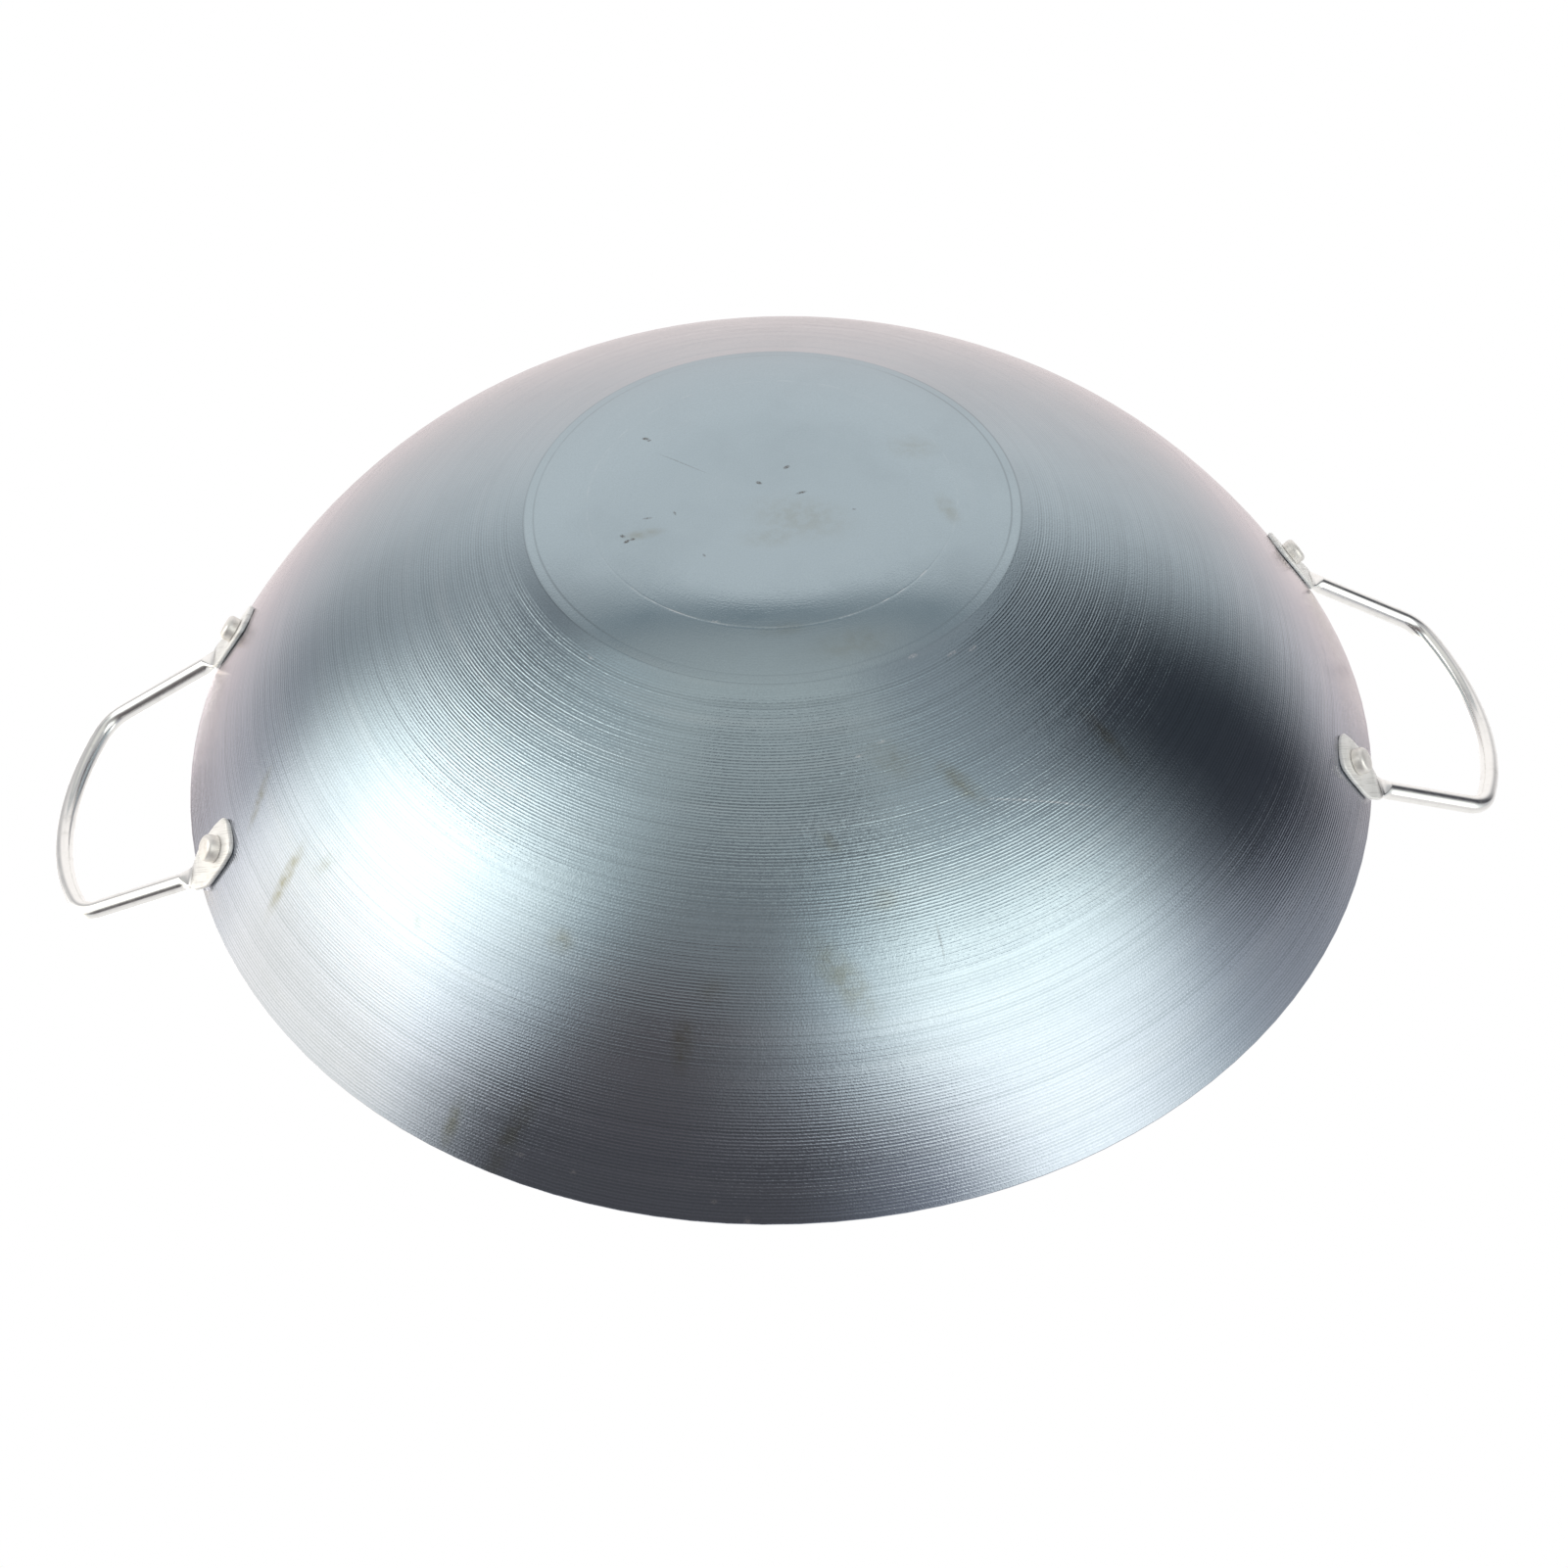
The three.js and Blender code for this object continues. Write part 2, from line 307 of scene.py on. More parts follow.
class NodeBoard:
    """A node tree with short ways to add nodes and join them."""

    def __init__(self, tree: bpy.types.NodeTree) -> None:
        """Start from an empty tree."""
        self.tree = tree
        tree.nodes.clear()

    def add(self, kind: str, **settings: object) -> bpy.types.Node:
        """Add a node and set its properties.

        Args:
            kind: Node type without the ShaderNode prefix.
            settings: Properties of the node.

        Returns:
            The new node.
        """
        node = self.tree.nodes.new("ShaderNode" + kind)
        for key, value in settings.items():
            setattr(node, key, value)
        return node

    def feed(self, socket: Socket, value: Feed) -> None:
        """Join a socket to another one, or set its value.

        Args:
            socket: The socket.
            value: The other socket or the value.
        """
        if isinstance(value, Socket):
            self.tree.links.new(value, socket)
        else:
            socket.default_value = value

    def fill(self, node: bpy.types.Node, *values: Feed) -> bpy.types.Node:
        """Feed a node's first sockets in their order.

        Args:
            node: The node.
            values: What goes into its sockets.

        Returns:
            The same node.
        """
        for socket, value in zip(node.inputs, values):
            self.feed(socket, value)
        return node

    def dial(self, node: bpy.types.Node, sockets: dict[str, Feed]) -> bpy.types.Node:
        """Feed a node's sockets by their names.

        Args:
            node: The node.
            sockets: What goes into each socket.

        Returns:
            The same node.
        """
        for name, value in sockets.items():
            self.feed(node.inputs[name], value)
        return node

    def finish(self, shader: bpy.types.Node) -> None:
        """Make a shader the tree's surface."""
        self.feed(self.add("OutputMaterial").inputs["Surface"], shader.outputs[0])

    def math(self, operation: str, *values: Feed) -> Socket:
        """Output of a Math node on up to three values."""
        return self.fill(self.add("Math", operation=operation), *values).outputs[0]

    def product(self, *values: Feed) -> Socket:
        """All the values multiplied."""
        return reduce(lambda first, second: self.math("MULTIPLY", first, second), values)

    def apart(self, first: Feed, second: Feed) -> Socket:
        """Distance between two numbers."""
        return self.math("ABSOLUTE", self.math("SUBTRACT", first, second))

    def vector(self, operation: str, *values: Feed) -> Socket:
        """Vector output of a Vector Math node, or its number for a length."""
        node = self.fill(self.add("VectorMath", operation=operation), *values)
        return node.outputs["Value" if operation == "LENGTH" else "Vector"]

    def split(self, vector: Socket) -> list[Socket]:
        """The three parts of a vector."""
        return list(self.fill(self.add("SeparateXYZ"), vector).outputs)

    def joined(self, x: Feed, y: Feed, z: Feed) -> Socket:
        """A vector of three parts."""
        return self.fill(self.add("CombineXYZ"), x, y, z).outputs[0]

    def ramp(self, value: Feed, low: float, high: float, first: float = 0.0, last: float = 1.0) -> Socket:
        """A smooth step, from the first value at low to the last one at high."""
        node = self.add("MapRange", interpolation_type="SMOOTHSTEP")
        return self.fill(node, value, low, high, first, last).outputs[0]

    def mix(self, share: Feed, first: Feed, second: Feed) -> Socket:
        """A colour between two colours.

        Args:
            share: Share of the second colour.
            first: First colour.
            second: Second colour.

        Returns:
            The mixed colour.
        """
        node = self.add("Mix", data_type="RGBA")
        for number, value in zip(MIX_SOCKETS, (share, first, second)):
            self.feed(node.inputs[number], (*value, 1.0) if isinstance(value, tuple) else value)
        return node.outputs[2]

    def noise(self, vector: Feed, scale: float, detail: float = 2.0, roughness: float = 0.5) -> Socket:
        """Value of a noise, about 0.5 on average, with so many features to a metre."""
        sockets = {"Vector": vector, "Scale": scale, "Detail": detail, "Roughness": roughness}
        return self.dial(self.add("TexNoise"), sockets).outputs[0]

    def bump(self, height: Feed, distance: float, under: Optional[Feed] = None) -> Socket:
        """Normal bent by a height.

        Args:
            height: Height from 0 to 1.
            distance: Metres that a height of 1 stands for.
            under: Normal that this one is laid on.

        Returns:
            The bent normal.
        """
        node = self.dial(self.add("Bump"), {"Strength": 1.0, "Distance": distance, "Height": height})
        if under is not None:
            self.feed(node.inputs["Normal"], under)
        return node.outputs[0]


def new_material(name: str) -> tuple[bpy.types.Material, NodeBoard]:
    """A material with an empty node board.

    Args:
        name: Name of the material.

    Returns:
        The material and its board.
    """
    material = bpy.data.materials.new(name)
    material.use_nodes = True
    return material, NodeBoard(material.node_tree)


class MarkKind(Enum):
    """Kinds of wear on the steel."""

    STAIN = "stain"
    SCRATCH = "scratch"
    SPECK = "speck"


@dataclass(frozen=True)
class MarkLook:
    """How one kind of mark shows: its colour, the share of it that is whole, and how it is broken up."""

    colour: Colour
    core: float
    breaks: float
    least: float


MARK_LOOKS = {
    MarkKind.STAIN: MarkLook((0.262, 0.270, 0.218), 0.0, 320.0, 0.45),
    MarkKind.SCRATCH: MarkLook((0.660, 0.680, 0.690), 0.3, 1800.0, 0.1),
    MarkKind.SPECK: MarkLook((0.070, 0.052, 0.040), 0.3, 2600.0, 0.3),
}


@dataclass(frozen=True)
class Mark:
    """One mark on the steel: where it lies in plan, its half length and half width, and its turn about Z."""

    x: float
    y: float
    length: float
    width: float
    turn: float = 0.0
    strength: float = 1.0


MARKS = {
    MarkKind.SPECK: (
        Mark(-0.0342, -0.0286, 0.0011, 0.0006, 20),
        Mark(-0.0332, -0.0276, 0.0006, 0.0005),
        Mark(-0.0032, -0.0053, 0.0010, 0.0006, 30),
        Mark(0.0051, -0.0112, 0.0011, 0.0006, -30),
        Mark(0.0083, 0.0001, 0.0016, 0.0005, -15, 0.9),
        Mark(-0.0424, 0.0124, 0.0009, 0.0006, 40),
        Mark(-0.0413, 0.0147, 0.0011, 0.0006, -30),
        Mark(-0.0397, 0.0141, 0.0007, 0.0005),
        Mark(-0.0352, 0.0062, 0.0014, 0.0004, -5, 0.6),
        Mark(-0.0275, 0.0050, 0.0010, 0.0004, 70, 0.6),
        Mark(-0.0204, 0.0231, 0.0007, 0.0004, 60, 0.6),
        Mark(0.0223, 0.0086, 0.0006, 0.0004, 0, 0.5),
        Mark(-0.0243, -0.0161, 0.0085, 0.00025, 37, 0.35),
        Mark(0.0322, 0.1310, 0.0045, 0.0004, 80, 0.4),
    ),
    MarkKind.STAIN: (
        Mark(-0.1041, 0.1031, 0.0030, 0.0012, 85, 0.5),
        Mark(-0.1294, 0.0767, 0.0060, 0.0028, 5, 0.4),
        Mark(-0.1513, 0.0437, 0.0080, 0.0020, 120, 0.7),
        Mark(-0.0369, 0.0125, 0.0065, 0.0022, -5, 0.5),
        Mark(0.0073, 0.0105, 0.0160, 0.0095, 20, 0.32),
        Mark(-0.0014, 0.0175, 0.0100, 0.0050, 0, 0.25),
        Mark(0.0418, -0.0170, 0.0080, 0.0060, 0, 0.25),
        Mark(0.0485, 0.0100, 0.0070, 0.0030, 75, 0.4),
        Mark(0.0172, 0.0587, 0.0130, 0.0055, -10, 0.32),
        Mark(-0.0011, 0.0527, 0.0080, 0.0030, 0, 0.25),
        Mark(0.0830, 0.0770, 0.0090, 0.0030, 47, 0.7),
        Mark(0.0415, 0.0950, 0.0085, 0.0032, 36, 0.7),
        Mark(0.0250, 0.0900, 0.0090, 0.0050, 20, 0.35),
        Mark(0.0186, 0.1224, 0.0040, 0.0030, 0, 0.4),
        Mark(0.0058, 0.1091, 0.0040, 0.0020, 45, 0.5),
        Mark(0.0058, 0.1380, 0.0125, 0.0050, 45, 0.6),
        Mark(-0.0655, 0.1200, 0.0045, 0.0030, 30, 0.55),
        Mark(-0.0362, 0.1466, 0.0060, 0.0034, 100, 0.75),
        Mark(-0.0277, 0.1378, 0.0050, 0.0030, 0, 0.3),
        Mark(-0.0986, 0.1443, 0.0050, 0.0026, 140, 0.7),
        Mark(-0.0834, 0.1522, 0.0120, 0.0034, 150, 0.6),
        Mark(-0.1430, 0.0718, 0.0085, 0.0026, 144, 1.0),
    ),
    MarkKind.SCRATCH: (
        Mark(0.0324, 0.0629, 0.0015, 0.0005, -25),
        Mark(0.0432, 0.0611, 0.0017, 0.0005, -35),
        Mark(0.0490, 0.0590, 0.0015, 0.0005, -40),
        Mark(-0.0530, 0.0527, 0.0010, 0.0004, 45),
        Mark(-0.0188, 0.0480, 0.0012, 0.0004, 20),
        Mark(0.0217, 0.0855, 0.0012, 0.0004, -15, 0.8),
        Mark(0.0154, 0.0890, 0.0011, 0.0004, -10, 0.8),
        Mark(0.0616, 0.0974, 0.0180, 0.0003, -4, 0.8),
        Mark(-0.0809, 0.1557, 0.0013, 0.0004, 20),
        Mark(-0.0672, 0.1623, 0.0010, 0.0004, 15),
        Mark(-0.0310, 0.1739, 0.0010, 0.0004, 10),
        Mark(-0.0228, 0.1779, 0.0010, 0.0008, 0),
    ),
}


@dataclass(frozen=True)
class Polar:
    """Place about the pan's axis: X and Y of the direction away from it, and the distance."""

    x: Feed
    y: Feed
    radius: Feed


@dataclass(frozen=True)
class BluedSteel:
    """Blue-grey spun steel: fine turning lines, a cloudy oxide colour and the marks of handling, with painted shade
    in the valleys of the turning and at the base ring's edges, and a painted sheen towards the rim.
    """

    middle: Colour = (0.455, 0.550, 0.596)
    # Lavender towards the rim: painted sheen, standing in for the oxide's colour at grazing angles.
    rim: Colour = (0.507, 0.547, 0.621)
    # Colour of the painted shade in the valleys of the turning lines and at the base ring's edges.
    painted_shade: Colour = (0.205, 0.248, 0.268)
    grazing: Colour = (1.0, 0.88, 0.86)
    bare: Colour = (0.640, 0.660, 0.670)
    dull_share: float = 0.62
    scribe_radius: float = 0.0521
    scribe_width: float = 0.0004
    scribe_arc: float = 0.78
    scribe_fade: Steps = (0.05, 0.22, 0.75, 0.14)
    edge_radii: Span = (0.0673, 0.0701)
    # Painted shade lines at the crease and the ridge of the base's outer ring.
    edge_width: float = 0.0005
    edge_cover: float = 0.55
    edge_sides: Steps = (0.4, 0.85, 0.3, 1.0)
    edge_breaks: Steps = (0.3, 0.6, 0.3, 1.0)
    mark_end: float = 1.3
    mark_breaks: Span = (0.36, 0.62)
    foot_band: Span = (0.060, 0.076)
    rim_sheen_band: Span = (0.120, 0.176)
    outward_band: Span = (-0.05, 0.05)
    # Strength of the painted shade and the bright streaks of the turning lines, weaker on the -Y half.
    crispness: Steps = (-0.025, 0.030, 0.3, 1.0)
    dullness: Steps = (0.45, 0.75, 0.0, 0.16)
    roughness: Steps = (0.3, 0.75, 0.10, 0.18)
    anisotropy: float = 0.35
    line_reach: float = 5.0
    line_pitch: float = 0.0004
    line_height: float = 8e-6
    streak_reach: float = 1.6
    streak_pitch: float = 0.0044
    streak_band: Span = (0.5, 0.8)
    streak_cover: Span = (0.02, 0.10)
    dash_reach: float = 9.0
    dash_pitch: float = 0.004
    dash_band: Span = (0.42, 0.68)
    cloud: Cloud = (24.0, 4.0, 0.6)
    grain_size: float = 0.0005
    grain_height: float = 3.0e-5
    grain_cover: Span = (0.4, 1.0)
    speckle: float = 0.4
    # Shares of painted shade in the turning valleys: the least and the mean.
    least_shade_share: float = 0.33
    mean_shade_share: float = 0.40

    def material(self) -> bpy.types.Material:
        """Build the finish.

        Returns:
            The material, all on Object coordinates.
        """
        material, board = new_material("blued_steel")
        coordinates = board.add("TexCoord")
        place = coordinates.outputs["Object"]
        x, y, _ = board.split(place)
        plan = board.joined(x, y, 0.0)
        outward = board.vector("NORMALIZE", plan)
        polar = Polar(*board.split(outward)[:2], board.vector("LENGTH", plan))
        cloud = board.noise(place, *self.cloud)
        grain = board.noise(place, 1.0 / self.grain_size, 1.0)
        on_wall = board.ramp(polar.radius, *self.foot_band, *self.grain_cover)
        speckle = board.product(board.math("SUBTRACT", grain, 0.5), on_wall, self.speckle)

        # Steel colour with painted shade in the turning valleys and a painted sheen towards the rim.
        tint = self.turned_tint_and_shade(board, polar, y, cloud, speckle)
        _, _, facing_up = board.split(coordinates.outputs["Normal"])
        outside = board.ramp(facing_up, *self.outward_band, 1.0, 0.0)
        # The scribed line is wear; the lines at the base ring's edges are painted shade.
        covers = [(self.scribed(board, polar), self.bare), (self.ring_edge_shade(board, polar, cloud), self.painted_shade)]
        covers += [(self.marks(board, place, plan, kind), look.colour) for kind, look in MARK_LOOKS.items()]
        for cover, colour in covers:
            tint = board.mix(board.product(cover, outside), tint, colour)

        normal = board.bump(self.turned_noise(board, polar, self.line_reach, self.line_pitch), self.line_height)
        shader = board.dial(board.add("BsdfPrincipled"), {
            "Metallic": 1.0,
            "Specular Tint": (*self.grazing, 1.0),
            "Anisotropic": self.anisotropy,
            "Anisotropic Rotation": 0.0,
            "Base Color": tint,
            "Roughness": board.ramp(cloud, *self.roughness),
            "Tangent": board.vector("CROSS_PRODUCT", (0.0, 0.0, 1.0), outward),
            "Normal": board.bump(board.product(grain, on_wall), self.grain_height, normal),
        })
        board.finish(shader)
        return material

    def turned_tint_and_shade(self, board: NodeBoard, polar: Polar, y: Feed, cloud: Feed, speckle: Feed) -> Socket:
        """Colour of the turned steel without its marks, with painted shade in the valleys of the turning lines and a
        painted sheen towards the rim.

        Args:
            board: Where the nodes go.
            polar: Place about the axis.
            y: Place from the smooth side to the crisp one.
            cloud: Large soft noise.
            speckle: Fine noise about 0.

        Returns:
            The colour.
        """
        # Painted sheen: the tint turns lavender towards the rim.
        tint = board.mix(board.ramp(polar.radius, *self.rim_sheen_band), self.middle, self.rim)
        dulled = tuple(self.dull_share * part for part in self.middle)
        tint = board.mix(board.ramp(cloud, *self.dullness), tint, dulled)
        # Painted shade: each vertex's share darkens the valleys of the turning lines and lightens their crests,
        # stronger on the +Y half.
        valley_shade = board.add("Attribute", attribute_name=SpunBowl.VALLEY_SHADES).outputs["Fac"]
        shade_and_speckle = board.math("ADD", board.math("MULTIPLY_ADD", valley_shade, 0.5, self.least_shade_share - self.mean_shade_share), speckle)
        on_base = board.ramp(polar.radius, *self.foot_band, 1.0, 0.0)
        crisp = board.math("MAXIMUM", board.ramp(y, *self.crispness), on_base)
        tint = board.mix(board.math("MULTIPLY_ADD", shade_and_speckle, crisp, self.mean_shade_share), tint, self.painted_shade)
        streaks = self.turned_noise(board, polar, self.streak_reach, self.streak_pitch)
        strength = board.ramp(polar.radius, *self.foot_band, *self.streak_cover)
        streaked = board.product(board.ramp(streaks, *self.streak_band), strength, crisp)
        return board.mix(streaked, tint, self.bare)

    def turned_noise(self, board: NodeBoard, polar: Polar, reach: float, pitch: float) -> Socket:
        """A noise drawn out round the pan's axis.

        Args:
            board: Where the nodes go.
            polar: Place about the axis.
            reach: Features in a radian.
            pitch: Metres from feature to feature across.

        Returns:
            The noise value.
        """
        spun = board.joined(
            board.product(polar.x, reach), board.product(polar.y, reach), board.product(polar.radius, 1.0 / pitch)
        )
        return board.noise(spun, 1.0)

    def scribed(self, board: NodeBoard, polar: Polar) -> Socket:
        """The broken bright line that was scribed round the base.

        Args:
            board: Where the nodes go.
            polar: Place about the axis.

        Returns:
            The cover from 0 to 1.
        """
        line = board.ramp(board.apart(polar.radius, self.scribe_radius), 0.0, self.scribe_width, 1.0, 0.0)
        dashes = self.turned_noise(board, polar, self.dash_reach, self.dash_pitch)
        arcs = board.ramp(board.apart(polar.y, self.scribe_arc), *self.scribe_fade)
        return board.product(line, board.ramp(dashes, *self.dash_band), arcs)

    def ring_edge_shade(self, board: NodeBoard, polar: Polar, broken: Feed) -> Socket:
        """Painted shade: two thin dark lines at the crease and the ridge of the base's outer ring, stronger at the
        left and right.

        Args:
            board: Where the nodes go.
            polar: Place about the axis.
            broken: Noise that breaks them up.

        Returns:
            The cover from 0 to 1.
        """
        cover: Feed = 0.0
        for edge in self.edge_radii:
            line = board.ramp(board.apart(polar.radius, edge), 0.0, self.edge_width, self.edge_cover, 0.0)
            cover = board.math("MAXIMUM", cover, line)
        sides = board.ramp(board.math("ABSOLUTE", polar.x), *self.edge_sides)
        return board.product(cover, sides, board.ramp(broken, *self.edge_breaks))

    def marks(self, board: NodeBoard, place: Feed, plan: Feed, kind: MarkKind) -> Socket:
        """Cover of all marks of one kind, broken up as that kind is.

        Args:
            board: Where the nodes go.
            place: Place to read.
            plan: The place with its height left out.
            kind: Kind of mark.

        Returns:
            The cover from 0 to 1.
        """
        look = MARK_LOOKS[kind]
        cover: Feed = 0.0
        for mark in MARKS[kind]:
            spot = board.dial(board.add("Mapping", vector_type="TEXTURE"), {
                "Vector": plan,
                "Location": (mark.x, mark.y, 0.0),
                "Rotation": (0.0, 0.0, math.radians(mark.turn)),
                "Scale": (mark.length, mark.width, 1.0),
            })
            away = board.vector("LENGTH", spot.outputs[0])
            cover = board.math("MAXIMUM", cover, board.ramp(away, look.core, self.mark_end, mark.strength, 0.0))
        broken = board.noise(place, look.breaks)
        return board.product(cover, board.ramp(broken, *self.mark_breaks, look.least, 1.0))


@dataclass(frozen=True)
class BrightPlate:
    """Bright plating over drawn wire: faint lines along the wire, and press marks across the tabs."""

    colour: Colour = (0.91, 0.895, 0.865)
    worn: Colour = (0.72, 0.70, 0.66)
    pressed: Colour = (0.50, 0.48, 0.45)
    wear: Steps = (0.5, 0.85, 0.0, 0.6)
    roughness: Steps = (0.3, 0.8, 0.15, 0.28)
    tab_end: Steps = (0.020, 0.023, 1.0, 0.0)
    tab_rougher: float = 0.28
    tab_metal: float = 0.4
    cloud: Cloud = (260.0, 3.0, 0.6)
    line_scales: Span = (2600.0, 90.0)
    line_height: float = 3e-6
    stroke_scales: Span = (2200.0, 90.0)
    stroke_slant: float = 0.8
    stroke_cover: Steps = (0.5, 0.66, 0.0, 0.45)
    stroke_height: float = 1.5e-5

    def material(self) -> bpy.types.Material:
        """Build the finish.

        Returns:
            The material, on the wire's own drawn-out coordinates and on Object coordinates.
        """
        material, board = new_material("bright_plate")
        drawn = board.add("Attribute", attribute_name=WireHandle.COORDINATES).outputs["Vector"]
        across, proud, along = board.split(drawn)
        fine, long = self.line_scales
        stretched = board.joined(board.product(across, fine), board.product(proud, fine), board.product(along, long))
        place = board.add("TexCoord").outputs["Object"]
        strokes = self.strokes(board, place)
        on_tab = board.ramp(along, *self.tab_end)
        cloud = board.noise(place, *self.cloud)

        tint = board.mix(board.ramp(cloud, *self.wear), self.colour, self.worn)
        stroked = board.product(board.ramp(strokes, *self.stroke_cover), on_tab)
        rough = board.ramp(cloud, *self.roughness)
        normal = board.bump(board.noise(stretched, 1.0), self.line_height)
        shader = board.dial(board.add("BsdfPrincipled"), {
            "Metallic": board.ramp(on_tab, 0.0, 1.0, 1.0, self.tab_metal),
            "Base Color": board.mix(stroked, tint, self.pressed),
            "Roughness": board.math("MULTIPLY_ADD", on_tab, self.tab_rougher, rough),
            "Normal": board.bump(board.product(strokes, on_tab), self.stroke_height, normal),
        })
        board.finish(shader)
        return material

    def strokes(self, board: NodeBoard, place: Feed) -> Socket:
        """Noise drawn out along slanted strokes in the YZ plane.

        Args:
            board: Where the nodes go.
            place: Place to read.

        Returns:
            The noise value.
        """
        _, y, z = board.split(place)
        fine, long = self.stroke_scales
        slanted = board.joined(
            board.product(board.math("ADD", y, board.product(z, self.stroke_slant)), fine),
            board.product(board.math("SUBTRACT", z, board.product(y, self.stroke_slant)), long),
            0.0,
        )
        return board.noise(slanted, 1.0)


@dataclass(frozen=True)
class RivetSteel:
    """Dull plated rivets, faintly hammered."""

    colour: Colour = (0.84, 0.81, 0.77)
    stained: Colour = (0.62, 0.58, 0.53)
    stain: Steps = (0.45, 0.8, 0.0, 0.7)
    roughness: Steps = (0.3, 0.8, 0.37, 0.54)
    metal: float = 0.6
    cloud: Cloud = (420.0, 3.0, 0.6)
    dent_scale: float = 700.0
    dent_height: float = 6e-5

    def material(self) -> bpy.types.Material:
        """Build the finish.

        Returns:
            The material, on Object coordinates.
        """
        material, board = new_material("rivet_steel")
        place = board.add("TexCoord").outputs["Object"]
        cloud = board.noise(place, *self.cloud)
        dents = board.noise(place, self.dent_scale, 1.0)
        shader = board.dial(board.add("BsdfPrincipled"), {
            "Metallic": self.metal,
            "Base Color": board.mix(board.ramp(cloud, *self.stain), self.colour, self.stained),
            "Roughness": board.ramp(cloud, *self.roughness),
            "Normal": board.bump(dents, self.dent_height),
        })
        board.finish(shader)
        return material


@dataclass(frozen=True)
class PaleFloor:
    """Matt pale floor that keeps the pan's shadow and ends softly in the white room.

    It shows from above only, also in the metal. A path that came up through it goes back down through it.
    """

    colour: Colour = (0.80, 0.80, 0.80)
    speck: Colour = (0.70, 0.70, 0.70)
    grain_scale: float = 900.0
    specks: Steps = (0.3, 0.7, 0.0, 0.04)
    fade: Steps = (0.6, 3.6, 1.0, 0.0)

    def material(self) -> bpy.types.Material:
        """Build the finish.

        Returns:
            The material, see-through from below.
        """
        material, board = new_material("pale_floor")
        place = board.add("TexCoord").outputs["Object"]
        grain = board.noise(place, self.grain_scale)
        matt = board.add("BsdfDiffuse")
        board.feed(matt.inputs["Color"], board.mix(board.ramp(grain, *self.specks), self.colour, self.speck))
        path = board.add("LightPath")
        stayed_above = board.math("LESS_THAN", path.outputs["Transparent Depth"], 0.5)
        mirrored = board.product(path.outputs["Is Glossy Ray"], stayed_above)
        shows = board.math("MAXIMUM", path.outputs["Is Camera Ray"], mirrored)
        above = board.math("SUBTRACT", 1.0, board.add("NewGeometry").outputs["Backfacing"])
        near = board.ramp(board.vector("LENGTH", place), *self.fade)
        clear = board.add("BsdfTransparent")
        share = board.product(shows, above, near)
        choice = board.fill(board.add("MixShader"), share, clear.outputs[0], matt.outputs[0])
        board.finish(choice)
        return material


def dress(piece: Piece, finish: bpy.types.Material, nodes: Sequence[str]) -> None:
    """Give a piece its finish and its body, and hide the solids that it stands for.

    Args:
        piece: The finished piece.
        finish: Its material.
        nodes: Names of the solids.
    """
    piece.data.materials.clear()
    piece.data.materials.append(finish)
    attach(piece, BODY)
    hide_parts(*nodes)
    LOG.info("%s: %d faces, for %s", piece.name, len(piece.data.polygons), ", ".join(nodes))


# Studio


@dataclass(frozen=True)
class Panel:
    """One soft panel or dark gap of the studio, by bearing and height in degrees as the photographer sees them.

    Bearing 0 is straight behind the pan, and heights count towards the side that the pan's base faces.
    The lean shifts a panel's bearing by so much for each degree of height, and the slope the other way about.
    Its sides blur over the edge and its ends over the fade.
    """

    bearing: float
    half_width: float
    height: float
    half_height: float
    edge: float
    fade: float
    level: Colour
    lean: float = 0.0
    slope: float = 0.0


